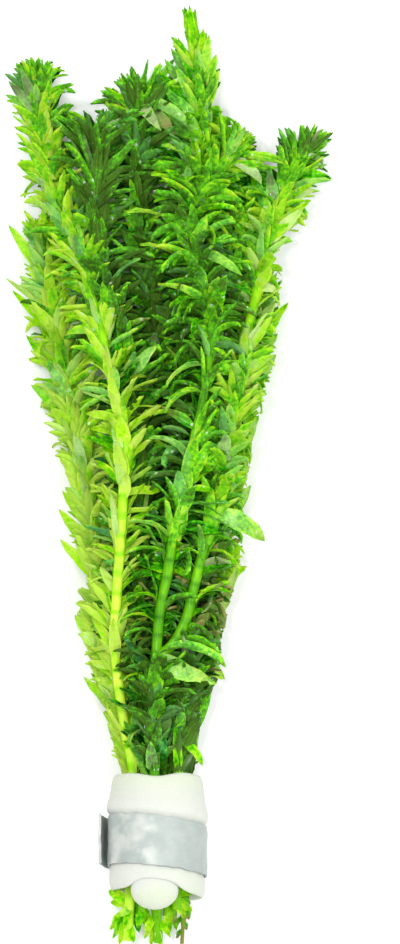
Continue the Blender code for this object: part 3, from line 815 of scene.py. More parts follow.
# painted shade on the leaves under a stem, and painted light on those at the outline of the bunch
PAINTED_SHADE_UNDER_STEM = 0.26
PAINTED_LIGHT_AT_OUTLINE = 0.30
PALENESS = (0.25, 0.6)
# how seldom and how unevenly leaves get the painted blueish sheen, and how much their age varies
PAINTED_SHEEN_ABOVE, PAINTED_SHEEN_VARIES, AGE_VARIES = 0.9, 0.3, 0.14


class Whorl:
    """A ring of leaves: how near the tip of its shoot it is, and how far above the foam."""

    def __init__(self, name, distance):
        self.name, self.distance, self.habit = name, distance, HABITS[name]
        self.y = routes[name].at(distance)[0].y
        crown_top = routes[name].length - self.habit["spire"] * MM
        self.in_spire = distance > crown_top
        near_tip = 1 - (crown_top - distance) / MM / self.habit["crown"][0]
        self.young = 1.0 if self.in_spire else clamped(near_tip)
        self.in_crown = clamped(2.5 * self.young)
        above_foam = clamped((self.y - FOAM_TOP) / OPENS_OVER)
        self.opened = 1.0 if name == FORKED_OFF else above_foam
        self.leaves = 3 if self.in_spire else 10 if self.young > 0 else 8

    def drift(self, around, kind):
        """A number from -1 to 1 that changes slowly along and round a stem."""
        # every shoot and every kind of change reads its own part of the noise
        aside = math.sin(around) + 10 * len(self.name) + 3.7 * kind
        spot = (self.distance / CLUMP, math.cos(around), aside)
        return clamped(noise.noise(Vector(spot)) * 1.8, -1, 1)

    def stance(self, around, below, kept):
        """How far a leaf leans from the stem and how far it arches, in degrees."""
        if self.in_spire:
            return IN_SPIRE
        if kept < 1:
            return OVER_BARE_STEM
        at_side = abs(math.sin(around))
        lean = self.habit["lean"] + LEAN_MORE_AT_SIDES * at_side + LEAN_MORE_BELOW * below
        lean *= 1 + LEAN_DRIFTS * self.drift(around, 0)
        crown_lean, crown_fan = self.habit["crown"][2:]
        crowned = mix(crown_lean, TIP_LEAN, self.young**0.8) + crown_fan * at_side
        lean = mix(OUT_OF_FOAM[0], mix(lean, crowned, self.in_crown), self.opened)
        arch = mix(self.habit["arch"], CROWN_ARCH, self.in_crown)
        arch = mix(OUT_OF_FOAM[1], arch, self.opened)
        return lean, arch + ARCH_DRIFTS * self.drift(around, 1) * (1 - self.in_crown)

    def looks(self, draw, around, below, tip):
        """Tone with painted light and shade, age, paleness and painted sheen of a leaf."""
        # a leaf's tone together with the painted light and shade on it, which the ramp of greens
        # reads
        light = read_off(self.habit["tones_and_painted_light"], self.y)
        light += draw.gauss(0, self.habit["spread"])
        # the tone drifts slowly along the stem, and leaves under it get painted shade
        light += LIGHT_DRIFTS * self.drift(around, 3) - PAINTED_SHADE_UNDER_STEM * below
        # leaves at the outline of the bunch get painted light
        at_edge = near_side(tip) * (1 - self.in_crown)
        light += PAINTED_LIGHT_AT_OUTLINE * at_edge * clamped(light * 2)
        pale = draw.uniform(*PALENESS) if draw.random() < self.habit["pale"] else 0.0
        # a painted blueish sheen that stands for the reflection of a film of water
        cool = self.drift(around, 4) * 2 - PAINTED_SHEEN_ABOVE + draw.uniform(-PAINTED_SHEEN_VARIES, PAINTED_SHEEN_VARIES)
        age = read_off(self.habit["ages"], self.y) + draw.gauss(0, AGE_VARIES)
        return light, clamped(age), pale, clamped(cool)


tip_whorl = Whorl("tallest", routes["tallest"].length)
print("the tip of the tallest shoot closes with", tip_whorl.leaves, "leaves to a whorl")

# %% The leaves of a whole shoot
# how much leaves differ by chance: turned by shares of their room in the whorl, longer, wider
# and rolled by shares, moved by mm, leaned and arched by degrees
TURNED, LONGER, WIDER, ROLLED = 0.6, (0.66, 1.12), (0.65, 1.45), 0.5
MOVED, LEANED, ARCHED = 0.9, 15, 28
LEAST_LEAN, LEAST_ARCH = 3, 6
CROWN_WIDTH = 2.0
TRIES, LEANS_LESS, SHORTER = 7, 0.1, 0.07


def grow_shoot(name):
    draw = random.Random("leaves of " + name)
    route, habit, grown = routes[name], HABITS[name], []
    for count, distance in enumerate(whorls(name)):
        whorl = Whorl(name, distance)
        for number in range(whorl.leaves):
            # every second whorl stands over the gaps of the one below it
            turn = number + 0.5 * (count % 2) + draw.uniform(-TURNED, TURNED)
            around, below = splayed(2 * math.pi * turn / whorl.leaves)
            kept = kept_share(name, whorl.y, around)
            if draw.random() > kept:
                continue
            lean, arch = whorl.stance(around, below, kept)
            length = mix(habit["length"], habit["crown"][1], whorl.in_crown) * MM
            length *= draw.uniform(*LONGER)
            length *= 1 + LENGTH_DRIFTS * whorl.drift(around, 2)
            width = mix(habit["width"], CROWN_WIDTH, whorl.in_crown) * MM
            width *= draw.uniform(*WIDER)
            roll = clamped(draw.gauss(habit["faces_up"], ROLLED), -1, 1)
            start = min(route.length, distance + draw.uniform(-MOVED, MOVED) * MM)
            for attempt in range(TRIES):
                tried = lean * (1 - LEANS_LESS * attempt) + draw.gauss(0, LEANED)
                leans = math.radians(lean if whorl.in_spire else max(LEAST_LEAN, tried))
                arches = math.radians(max(LEAST_ARCH, arch + draw.gauss(0, ARCHED)))
                long = length * (1 - SHORTER * attempt)
                placed = leaf_on_stem(name, start, around, leans, arches, long, width, roll)
                if fits(placed, name):
                    grown.append(placed.make(*whorl.looks(draw, around, below, placed.tip)))
                    break
    return grown


# %% [markdown]
# ## Odd leaves
#
# Some leaves catch the eye: they stand out past the others, have turned pale or brown, or arch
# over a dark gap. Each of these is drawn from a place on its stem to a place for its tip. An
# arched leaf turns away from its first heading by half its arch on average, so it sets out
# that much more steeply. Its arch can be tilted out of the upright, as an arch that faces the
# camera is hard to see.

# %% The table of odd leaves
# shoot: leaves from [y of the base, degrees round the stem] to [x, height in picture, z] of
# the tip, then width, arch, tone with painted light and shade, age, paleness and how far its
# arch is tilted, the last three only where they aren't 0
ODD_LEAVES = {
    "left_edge": [
        (50, -90, -40.3, 61.5, 12, 3.4, 12, 0.95, 0, 0.1),
        (41, -90, -40.8, 48, 9, 2, 36, 0.9, 0, 0.5), (36, -90, -39.3, 45, 8, 2.6, 12, 0.9),
        (24, -90, -35.7, 33.7, 9, 3, 12, 0.8), (14, -80, -34.5, 21.2, 10, 3, 12, 0.8),
        (17, 0, -30.5, 28, 16, 3.6, 12, 0.55, 0, 0.2), (-14, -80, -26.5, -5.5, 10, 3, 36, 1.1),
        (-20, -70, -27.4, -10, 11, 3.4, 12, 1.1), (-27, -80, -27, -17.8, 9, 3.4, 36, 1.05),
        (-46, -60, -23.4, -36.5, 10, 4, 36, 1.1, 0, 0.2),
        (-44, -40, -22.5, -41, 13, 4.4, 62, 1.05, 0, 0.4), (-60, -60, -21, -52, 9, 3, 36, 1.1),
        (-50, -20, -19, -46, 14, 4, 62, 1.1, 0, 0.2),
    ],
    "left_bushy": [
        (33, -30, -12, 41.5, 20, 3, 36, 0.4, 1), (-14, 0, -4.6, -2.2, 21, 1.2, 12, 0.95, 0, 0.3),
        (72, -30, -24.6, 83, 19, 2, 12, 0.3, 0, 0.3),
        (74, -10, -21.5, 85, 20, 1.8, 12, 0.3, 0, 0.3),
        (23, 30, -2.6, 31.5, 23, 3.2, 36, 0.45, 0.3, 0.3),
        (-66, 20, -1, -59.5, 23, 3.6, 36, 0.65, 0, 0, 20),
    ],
    "far_left": [
        (0, -60, -14, 12, 26, 2.2, 36, 0.9, 0, 0.6),
        (-20, -60, -14.4, -5, 24, 1.6, 62, 0.9, 0, 0.7), (4, 0, -12.2, 13.6, 28, 3.8, 12, 1.05),
        (-4, 0, -11.4, 5.6, 27, 3, 12, 1.05), (91, -50, -40.4, 98, 14, 3, 12, 0.3, 0, 0.3),
        (93, -40, -37.6, 101.6, 14, 2.8, 12, 0.3, 0, 0.3),
        (92, -60, -41.2, 94.6, 12, 2.6, 12, 0.5, 0, 0.2),
    ],
    "centre_back": [
        (94, 20, 5.6, 84.8, 16, 3.4, 92, 0.65, 0.2, 0.35, 40),
        (94, 40, -1.6, 85.2, 18, 3.4, 62, 0.6, 0.2, 0.85),
        (93, 20, 1.6, 84.4, 15, 4.4, 62, 0.45, 0.7, 0.3, 20),
        (72, 40, 3.4, 73.5, 16, 3, 92, 0.5, 0, 0, 50), (88, 40, 3.4, 92.8, 10, 4, 36, 0.2),
        (84, 20, 1, 87.5, 10, 4, 36, 0.2), (92, -70, -15.6, 96.4, 11, 2.4, 36, 0.8),
        (90, -80, -17.8, 93.6, 10, 2.2, 36, 0.9), (80, 0, -3.2, 89, 11, 3.8, 36, 0.2),
        (94, -40, -12.6, 99.2, 12, 2.2, 36, 0.75), (84, -60, -14.6, 88, 16, 3, 62, 0.5, 0, 0, 30),
    ],
    "tallest": [
        (105, 0, 5.2, 117.6, 11, 2.6, 12, 0.75), (98, 30, 10.2, 110, 12, 3, 12, 1, 0, 0.2),
        (95, 50, 12, 105, 11, 3.2, 12, 1, 0, 0.1), (92, 60, 12.6, 101, 11, 3, 12, 1),
        (101, 10, 8.8, 111.6, 12, 2.6, 12, 0.9), (97, -70, 0.6, 106.4, 12, 3.2, 12, 0.3, 0, 0.2),
        (94, -80, -1, 103.6, 11, 3.2, 12, 0.35, 0, 0.2), (97, -50, 2.4, 109, 12, 3, 12, 0.45),
        (91, -80, -2.4, 100.4, 11, 3.2, 36, 0.4), (88, -60, -1.6, 97, 13, 3.4, 36, 0.5, 0, 0.1),
        (92, -40, 1.6, 102, 14, 3.4, 12, 0.5, 0, 0.2),
        (84, 20, 10.6, 93.5, 17, 3.6, 12, 0.45, 0, 0.25),
        (58, -60, -10.3, 64.2, 19, 2.8, 92, 0.7, 0, 0.1, 50),
        (49, -40, -7, 56, 20, 2.8, 92, 0.7, 0, 0.1, 50),
        (66, -50, -3.5, 67, 20, 2.6, 92, 0.4, 0, 0, 45),
        (24, -20, -0.6, 31, 22, 1.3, 12, 1, 0, 0.2),
        (76, 60, 15.6, 84, 13, 2.4, 62, 0.9, 0.4, 0.1),
        (78, 70, 17.6, 85.6, 12, 2.2, 36, 0.9, 0.4, 0.1),
    ],
    "centre_front": [
        (79, 80, 23.2, 71.8, 15, 4, 92, 0.5, 0.3, 0.75, 40),
        (53, 60, 18.5, 48.4, 26, 3, 62, 0.6, 0, 0.2, 20),
        (56, 10, 9.6, 64, 27, 3.4, 62, 0.65, 0, 0.1), (66, 90, 17, 71, 11, 3.2, 36, 0.2),
        (68, 100, 19.5, 73, 10, 3.2, 36, 0.15), (64, 90, 18, 68.5, 10, 3.4, 36, 0.2),
        (65, 80, 20.6, 70.5, 12, 3.2, 36, 0.25), (62, 50, 17.4, 64.5, 23, 2.8, 92, 0.5, 0, 0, 60),
        (40, -60, -2.5, 46, 27, 3, 62, 0.7, 0, 0.1, 30),
        (24, -70, -0.2, 20.4, 28, 3, 92, 0.65, 0, 0.2, 50),
        (17, -70, -0.4, 14, 28, 2.8, 92, 0.7, 0, 0.1, 50),
        (18, 60, 16.4, 16, 29, 3, 62, 0.65, 0, 0.1, 40),
        (8, -60, -1.6, 15.6, 25, 2.4, 36, 0.4, 0.7),
        (0, -60, -4.8, 7.5, 28, 4.2, 92, 0.6, 0, 0.25, 50),
        (-8, 50, 11.6, -6, 28, 2.8, 92, 0.7, 0, 0, 50),
        (-35, -70, -10.4, -32.5, 25, 2.6, 92, 0.6, 0, 0, 60),
        (-40, -70, -10.8, -37, 24, 2.6, 92, 0.8, 0, 0, 60),
        (-54, -70, -11, -52.5, 22, 2.6, 92, 0.75, 0, 0, 60),
        (-47, 60, 13.8, -49, 22, 2.8, 92, 0.45, 0, 0.1, 50),
        (-49, 50, 12, -52.6, 23, 4.8, 36, 0.6, 0.2, 0.35, -20),
        (-76, -40, -4.4, -67, 23, 3.2, 12, 0.3, 0, 0.2), (-75, 30, -0.6, -66, 23, 3.4, 36, 0.08),
    ],
    "branch_right": [
        (70, 60, 36.6, 70.6, 12, 3.4, 36, 0.9, 0, 1), (77, 80, 41, 73.5, 10, 2.6, 92, 0.3),
        (57, 40, 33.8, 65.5, 17, 3.4, 12, 0.85, 0, 0.8), (60, 50, 35.6, 67.6, 15, 2.4, 12, 1.05),
        (60, -60, 17.4, 62, 21, 1.8, 12, 0.8, 0, 0.3),
        (45, 70, 27.4, 44.8, 19, 2.8, 62, 0.8, 0, 0.7, 20),
        (-13, 80, 23.6, -17.5, 15, 5.4, 62, 0.62, 0.5, 0.2, 20),
        (68, -80, 20.6, 74, 10, 3.4, 36, 0.3), (66, -100, 14, 72, 7, 5, 12, 0.15),
        (69, -100, 14.5, 76.5, 7, 5, 12, 0.15), (66, -80, 19.6, 74.6, 9, 3.8, 36, 0.15),
        (69, -70, 21.6, 77.4, 9, 3.4, 36, 0.2), (65, -90, 17, 72.2, 10, 4, 36, 0.15),
        (62, -90, 16, 68.4, 10, 4, 36, 0.25), (67, -60, 25.2, 73.8, 13, 2.8, 36, 0.3),
        (64, -80, 22.4, 73, 14, 3, 36, 0.4, 0, 0.1), (59, -90, 17.6, 63.4, 12, 3.2, 36, 0.2),
        (67, -70, 25.4, 76, 13, 3, 36, 0.2, 0, 0.2),
    ],
    "right_short": [
        (-76, 0, 1.8, -63, 21, 2.4, 12, 0.6), (-70, 60, 8.5, -73.4, 17, 3, 62, 0.6, 0, 0, 40),
        (55, 20, 19.6, 64, 16, 3.2, 36, 0.3), (56, 60, 21.6, 61, 14, 3.2, 36, 0.2),
        (56, -20, 15.6, 67, 15, 3.2, 36, 0.15), (54, 80, 22.6, 66.4, 11, 3, 36, 0.1),
        (56, 0, 14.6, 70, 13, 3.4, 36, 0.2), (55, 40, 17.6, 66, 15, 3.4, 36, 0.25),
    ],
    "right_edge": [
        (33, 90, 30, 42, 8, 3, 36, 0.85), (27, 80, 27.3, 34.3, 10, 3.4, 36, 0.8, 0, 0.3),
        (22, 60, 26.9, 29, 13, 4.6, 62, 0.8, 0.3, 0.7),
        (7, 80, 22.6, 13.7, 12, 3.2, 36, 0.8, 0, 0.2),
        (0, 80, 20.7, 7.3, 10, 3.2, 36, 0.9, 0, 0.4),
        (-4, 60, 19.9, 2.5, 13, 3.6, 62, 0.9, 0, 0.4),
        (-12, 60, 20.6, -3.8, 14, 4.4, 62, 0.8, 0.4, 0.7), (-28, 70, 19.5, -24, 10, 3.6, 36, 0.7),
        (-44, 40, 18, -23.4, 16, 3.4, 12, 0.75, 0.5, 0.6),
        (-48, 60, 14.2, -52, 10, 3.8, 36, 0.8, 0, 0.2),
    ],
}
print(sum(len(table) for table in ODD_LEAVES.values()), "odd leaves")

# %% Growing an odd leaf
ODD_TWIST = 20


def odd_leaf(name, base_y, around, x, height, z, width, arch, light, age=0, pale=0, tilt=0):
    distance = routes[name].where_y_passes(base_y * MM)
    base = foothold(name, distance, math.radians(around))[0]
    y = (height - (z - MIDDLE_Z) * math.sin(TILT)) / math.cos(TILT)
    chord = Vector((x, y, z)) * MM - base
    face = (Vector((0, 0, 1)) - chord * chord.z / chord.length_squared).normalized()
    beside = chord.cross(face).normalized()
    beside *= math.copysign(math.sin(math.radians(tilt)), beside.y * tilt)
    face = face * math.cos(math.radians(tilt)) + beside
    half = math.radians(arch) / 2
    heading = chord.normalized() * math.cos(half) + face * math.sin(half)
    length = chord.length * half / math.sin(half)
    upper = face * math.cos(half) - chord.normalized() * math.sin(half)
    return Leaf(base, heading, upper, arch, ODD_TWIST, length, width * MM).make(light, age, pale)


# %% [markdown]
# At the foot the shoots were cut through between two whorls, and the shreds of their lowest
# leaves stick out below the foam. They are grown from a table of the same kind.

# %% Shreds at the cut ends
SHREDS = {
    "far_left": [
        (-108.6, -90, -14.4, -104.6, 9, 3, 92, 0.75), (-109.6, -80, -14, -107.4, 8, 2.2, 62, 1),
        (-111, -90, -14.2, -114.2, 7, 2.2, 36, 0.9), (-112, -80, -13.6, -116.4, 7, 1.8, 36, 0.75),
        (-113, -60, -12, -117.8, 7, 2, 12, 0.9), (-114, 30, -8.4, -117.2, 9, 2, 36, 0.8),
        (-110, 0, -12.4, -110.8, 13, 2.2, 62, 1, 0, 0.2),
        (-110, 20, -11, -113.8, 12, 1.8, 36, 0.7),
    ],
    "left_edge": [
        (-109, 0, -7, -114.8, 9, 3, 36, 0.35), (-109, 40, -5, -113.4, 8, 2.2, 36, 0.6),
        (-109, -60, -10.4, -113, 6, 2.4, 36, 0.5),
    ],
    "left_bushy": [
        (-111, 0, -7.4, -113.6, 12, 2.2, 36, 0.6), (-111, 60, -4.4, -115, 9, 2, 36, 0.75),
    ],
    "centre_front": [
        (-112, -60, -5.6, -116.2, 9, 2, 36, 0.9), (-113, 60, 0.6, -115.8, 9, 1.8, 36, 0.9),
        (-115, 0, -1.6, -118.6, 7, 1.8, 12, 1, 0, 0.2), (-114, -40, -4.2, -118, 7, 1.6, 12, 0.8),
    ],
    "tallest": [
        (-109, 60, 1.8, -112.6, 9, 2.4, 62, 0.6, 0.7), (-110, 0, 0.6, -114.8, 8, 2, 36, 0.85),
        (-110, 40, 2.2, -114.2, 7, 1.8, 36, 0.7, 0.3),
    ],
    "right_short": [
        (-109, 60, 5.4, -107.6, 10, 2.4, 62, 0.7, 0.6), (-109, 30, 4, -111, 10, 2, 36, 0.85, 0.4),
        (-107, 70, 6.4, -104.5, 11, 2, 92, 0.85, 0.5),
        (-109, 80, 5.8, -109.4, 9, 1.8, 36, 0.9, 0.2),
    ],
    "right_edge": [
        (-110, 60, 5.2, -111.6, 8, 1.6, 62, 0.5, 1), (-113, 90, 4.6, -114.2, 6, 1.2, 36, 0.4, 1),
        (-115, -90, 2.2, -116.4, 5, 1.2, 36, 0.4, 1), (-112, -90, 2, -113.4, 6, 1.2, 36, 0.5, 1),
    ],
}
print(sum(len(table) for table in SHREDS.values()), "shreds")

# %% [markdown]
# The leaves of a shoot become one piece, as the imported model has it. What would go through the
# table is pressed softly against it, as the weight of wet leaves does.

# %% Joining them into pieces
SURFACE = 0.12 * MM
SOFTNESS = 0.35 * MM


def rest_on_table(thing):
    """Presses what would go through the table softly against it."""
    places = np.zeros(len(thing.data.vertices) * 3)
    thing.data.vertices.foreach_get("co", places)
    places = places.reshape(-1, 3)
    places[:, 2] = SURFACE + SOFTNESS * np.logaddexp(0, (places[:, 2] - SURFACE) / SOFTNESS)
    thing.data.vertices.foreach_set("co", places.ravel())
    thing.data.update()


def joined(things, name):
    bpy.ops.object.select_all(action="DESELECT")
    for thing in things:
        thing.select_set(True)
    bpy.context.view_layer.objects.active = things[0]
    bpy.ops.object.join()
    made = bpy.context.object
    made.name = made.data.name = name
    return made


foliage = {}
for name in ROUTES:
    leaves = grow_shoot(name)
    for row in ODD_LEAVES.get(name, []) + SHREDS.get(name, []):
        leaves.append(odd_leaf(name, *row))
    print(name, "has", len(leaves), "leaves")
    foliage[name] = joined(leaves, name + "_leaves")
    rest_on_table(foliage[name])
print("leaf triangles:", sum(triangles(piece) for piece in foliage.values()))

# %% [markdown]
# ## Stems
#
# A real stem is round, soft and a little swollen at each joint, where a whorl sits. It could be
# extruded ring by ring, but a curve with a round profile follows the route by itself and takes
# a radius at each point. It is then turned into a mesh. How near each ring is to a joint is
# written into the mesh, for the dark line there.

# %% The stems
STEM_STEP = 0.9 * MM
JOINT_SWELLS, JOINT_REACH, JOINT_LINE = 0.08, 0.5 * MM, 0.55 * MM


def joints(name):
    return np.array(whorls(name)[::2])


def stem_piece(name):
    route, swollen_at = routes[name], joints(name)
    curve = bpy.data.curves.new(name + "_stem", "CURVE")
    curve.dimensions = "3D"
    curve.bevel_depth = 1
    curve.bevel_resolution = 3
    curve.use_fill_caps = True
    spots = np.linspace(0, route.length, int(route.length / STEM_STEP))
    spline = curve.splines.new("POLY")
    spline.points.add(len(spots) - 1)
    for point, distance in zip(spline.points, spots):
        near = math.exp(-((np.abs(swollen_at - distance).min() / JOINT_REACH) ** 2))
        point.co = (*route.at(distance)[0], 1)
        point.radius = stem_radius(name, distance) * (1 + JOINT_SWELLS * near)
    made = bpy.data.objects.new(name + "_stem", curve)
    bpy.context.scene.collection.objects.link(made)
    only(made)
    bpy.ops.object.convert(target="MESH")
    made = bpy.context.object
    bpy.ops.object.mode_set(mode="EDIT")
    bpy.ops.mesh.select_all(action="SELECT")
    bpy.ops.mesh.remove_doubles(threshold=0.001 * MM)
    bpy.ops.object.mode_set(mode="OBJECT")
    return made


stems = {name: stem_piece(name) for name in ROUTES}
for piece in stems.values():
    only(piece)
    bpy.ops.object.shade_smooth_by_angle(angle=math.radians(50))
print("stem triangles:", sum(triangles(piece) for piece in stems.values()))


# %% Where their joints are
def walked_to(route, place):
    """How far along the stem a place lies, also between two steps of its line."""
    step = route.nearest_step(place)[0]
    along = np.array(route.at(route.walked[step])[1])
    return route.walked[step] + np.dot(np.array(place) - route.places_as_array[step], along)


def note_joints(name):
    """Writes into the mesh how near a joint each place is, and how far it has dried up."""
    mesh = stems[name].data
    walked = np.array([walked_to(routes[name], vert.co) for vert in mesh.vertices])
    gap = np.abs(walked[:, None] - joints(name)[None, :]).min(1)
    write_number(mesh, "joint", np.exp(-((gap / JOINT_LINE) ** 2)))
    dead = np.clip(DRIED_UP_TO - walked / SPLIT_OVER, 0, 1) * (name == SPLIT_FOOT)
    write_number(mesh, "dead", dead)
    return len(joints(name))


print("joints:", {name: note_joints(name) for name in ROUTES})

# %% [markdown]
# ## The colour of leaves
#
# The leaves are thin and wet. Light comes through them, so they go from a deep bottle green
# where they lie deep in the bunch to a bright yellow green at the edges. Shadows alone would
# turn them black there, so this is painted: each leaf carries its tone together with painted
# light and shade, and a ramp of greens turns that into colour. Over it lie blotches, a paler rib,
# a rim and tip painted lighter, a painted blueish sheen for the reflection of a film of water,
# painted glints, and cream or brown where a leaf is old. A coat over the colour gives the gloss
# of the wet parts.


# %% Patterns on a leaf
# so many to the metre, and so many veins across a leaf
BROAD_BLOTCHES, BLOTCHES, CELLS, VEINS = 62.0, 230.0, 1100.0, 60.0


def leaf_patterns(start):
    """The wires that all finishes of a leaf share, read from its own map and its place."""
    blade = start.node("UVMap", {"uv_map": "blade"})
    steps_across, place = blade.part(0), start.place()
    across = steps_across.math("FRACT")
    return SimpleNamespace(
        place=place,
        underside=steps_across.band(0.99, 1.01),
        along=blade.part(1),
        from_rib=(across - 0.5).math("ABSOLUTE") * 2.0,
        veins=(across * VEINS).math("SINE"),
        broad=place.clouds(BROAD_BLOTCHES, 2.0),
        patches=place.clouds(BLOTCHES, 3.0),
        cells=place.clouds(CELLS, 2.0),
        light=start.written("light"),
    )


# %% Its greens
LEAF_GREENS = [
    (0.0, (0.005, 0.070, 0.001)),
    (0.16, (0.015, 0.230, 0.001)),
    (0.33, (0.066, 0.490, 0.001)),
    (0.52, (0.270, 0.790, 0.002)),
    (0.74, (0.620, 0.920, 0.022)),
    (1.0, (0.800, 0.950, 0.130)),
]
RIB_GREEN = rgb(0.34, 0.70, 0.03)


def leaf_green(on):
    mottled = on.light + (on.patches - 0.5) * 1.3 + (on.broad - 0.5) * 0.6
    mottled = mottled + on.veins * 0.03 + (on.cells - 0.5) * 1.2
    # painted light: the rim and the tip of a leaf are lighter and the rest a little darker, as
    # light through a thin leaf looks
    painted_rim_light, tip = on.from_rib.band(0.45, 1.0), on.along.band(0.7, 1.0)
    shade = mottled + painted_rim_light * 0.16 - 0.04 + tip * 0.14
    rib = 1.0 - on.from_rib.band(0.0, 0.16)
    return (rib * 0.2).colour_mix((shade * 0.74).ramp(LEAF_GREENS), RIB_GREEN)


# %% Painted sheen and glints, underside and age
# colours of the painted sheen on dark and on lit leaves
SHEEN_DEEP, SHEEN_LIGHT = rgb(0.10, 0.38, 0.13), rgb(0.46, 0.74, 0.40)
UNDERSIDE_GREEN = rgb(0.42, 0.66, 0.10)
# the pale of the painted glints, and the cream and brown of old leaves
PAINTED_GLINT, CREAM, BROWN = rgb(0.72, 0.86, 0.62), rgb(0.86, 0.87, 0.50), rgb(0.36, 0.32, 0.10)


def aged_with_painted_sheen_and_glints(start, on, green):
    # painted sheen: blueish streaks and whole leaves that stand for the reflection of a film of
    # water, paler on lit leaves
    streaks = (1.0 - on.broad).band(0.56, 0.68) * on.patches.band(0.44, 0.62)
    painted_sheen_share = start.written("cool") * 0.45 + streaks * 0.35
    sheen = on.light.band(0.1, 1.1).colour_mix(SHEEN_DEEP, SHEEN_LIGHT)
    colour = painted_sheen_share.colour_mix(green, sheen)
    colour = (on.underside * 0.14).colour_mix(colour, UNDERSIDE_GREEN)
    # painted glints: small pale specks that stand for the glints of wet leaves
    painted_glints = (1.0 - on.place.pores(340.0).band(0.11, 0.19)) * on.patches.band(0.48, 0.56)
    colour = (painted_glints * 0.8).colour_mix(colour, PAINTED_GLINT)
    cream = start.written("pale") * (1.2 - on.along * 0.5) * (0.3 + on.patches * 1.0)
    colour = cream.colour_mix(colour, CREAM)
    brown = start.written("age").band(0.35, 0.8) * on.along.band(0.2, 0.9)
    return brown.colour_mix(colour, BROWN)


# %% Leaf material
LIGHT_THROUGH = rgb(0.46, 0.94, 0.02)


def let_light_through(material, colour, share):
    """Mixes in light that comes through from the other side, by a share that may vary."""
    tree = material.node_tree
    through = tree.nodes.new("ShaderNodeBsdfTranslucent")
    through.inputs["Color"].default_value = colour
    both = tree.nodes.new("ShaderNodeMixShader")
    tree.links.new(share.socket, both.inputs["Fac"])
    tree.links.new(tree.nodes["Principled BSDF"].outputs["BSDF"], both.inputs[1])
    tree.links.new(through.outputs["BSDF"], both.inputs[2])
    tree.links.new(both.outputs["Shader"], tree.nodes["Material Output"].inputs["Surface"])


def leaf_material():
    material, start, shader = new_material(
        "wet leaf", Coat_Roughness=0.06, Coat_IOR=1.33, IOR=1.33, Specular_IOR_Level=0.12
    )
    on = leaf_patterns(start)
    wet = on.patches.band(0.50, 0.60)
    height = on.cells * 0.35 + on.place.clouds(900.0, 2.0) + on.veins * 0.1
    feed(
        shader,
        Base_Color=aged_with_painted_sheen_and_glints(start, on, leaf_green(on)),
        Roughness=0.60 - wet * 0.46 + (on.cells - 0.5) * 0.2,
        Coat_Weight=wet * 0.42,
        Normal=height.relief(0.8, 0.0006),
    )
    let_light_through(material, LIGHT_THROUGH, 0.04 + on.light.band(0.0, 1.2) * 0.40)
    return material


leaf_look = report(leaf_material())

# %% [markdown]
# ## The colour of stems
#
# The stems are smoother and paler than the leaves, with fine streaks along them, a dark line at
# each joint and one dried foot. The streaks are noise that a Mapping node stretches. The stems
# nearly run along one axis, so no UV map is needed for that.

# %% Stem material
STEM_GREENS = [
    (0.0, (0.010, 0.110, 0.001)),
    (0.35, (0.090, 0.340, 0.001)),
    (0.65, (0.260, 0.620, 0.004)),
    (1.0, (0.720, 0.880, 0.090)),
]
DRIED = rgb(0.16, 0.17, 0.02)


def stem_material():
    material, start, shader = new_material(
        "wet stem", Coat_Roughness=0.12, IOR=1.4, Specular_IOR_Level=0.1, Coat_Weight=0.15
    )
    place = start.place()
    stretched = start.node("Mapping", None, {"Vector": place, "Scale": (1.0, 0.08, 1.0)})
    streaks = stretched.clouds(2200.0, 2.0)
    # the stem's tone with the painted light along it, and soft blotches
    shade = start.written("light") + (place.clouds(120.0, 3.0) - 0.5) * 0.5
    shade = shade + (streaks - 0.5) * 0.3 - start.written("joint") * 0.22
    green = start.written("dead").colour_mix(shade.ramp(STEM_GREENS), DRIED)
    bump = streaks.relief(0.3, 0.0002)
    feed(shader, Base_Color=green, Roughness=0.3 + streaks * 0.2, Normal=bump)
    return material


stem_look = report(stem_material())

# %% Putting both on
# y in mm and how light the stem is there, its tone and painted light together
STEM_TONE_AND_PAINTED_LIGHT = {
    "far_left": [(-118, 0.8), (-78, 0.7), (-60, 0.86), (-20, 0.76), (10, 0.56), (90, 0.5)],
    "left_edge": [(0, 0.6)],
    "left_bushy": [(0, 0.45)],
    "centre_back": [(0, 0.4)],
    "tallest": [(0, 0.5)],
    "centre_front": [(0, 0.34)],
    "branch_right": [(-10, 0.36), (20, 0.62)],
    "right_edge": [(0, 0.35)],
    "right_short": [(0, 0.45)],
}
for name in ROUTES:
    light = [read_off(STEM_TONE_AND_PAINTED_LIGHT[name], vert.co.y) for vert in stems[name].data.vertices]
    write_number(stems[name].data, "light", light)
    for piece, look in ((foliage[name], leaf_look), (stems[name], stem_look)):
        coat_with(piece, look)
        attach(piece, BODY)
        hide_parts(node_of(name))
        node_of(name)
print("dressed:", ", ".join(node_of(name) for name in ROUTES))

# %% [markdown]
# ## The foam roll
#
# The foam is a tube that the metal strip squeezes in the middle, so it swells above and below
# it, and it is pressed flat underneath. A cloth simulation could squeeze it, but the swellings
# are few and known. So it starts as a cylinder, is cut into rings by bisecting it, each ring is
# scaled to its own radius, and a subdivision surface rounds it.

# %% The foam tube
FOAM_CENTRE = Vector((-2.6, 0, 10.8)) * MM
FOAM_FOOT = -106.6 * MM
FOAM_WALL = 2.0 * MM
# y and radius of each ring
FOAM_RINGS = [
    (-76.5, 10.3), (-77.1, 11.2), (-79.6, 11.5), (-82.4, 11.75), (-85.2, 12.6), (-86.6, 12.75),
    (-87.6, 11.9), (-88.2, 11.5), (-94.2, 11.45), (-100.2, 11.5), (-100.9, 11.75), (-102.4, 12.0),
    (-104.8, 11.95), (-106.1, 11.5), (-106.6, 10.9),
]
FOAM_LIP = FOAM_RINGS[0][0] * MM

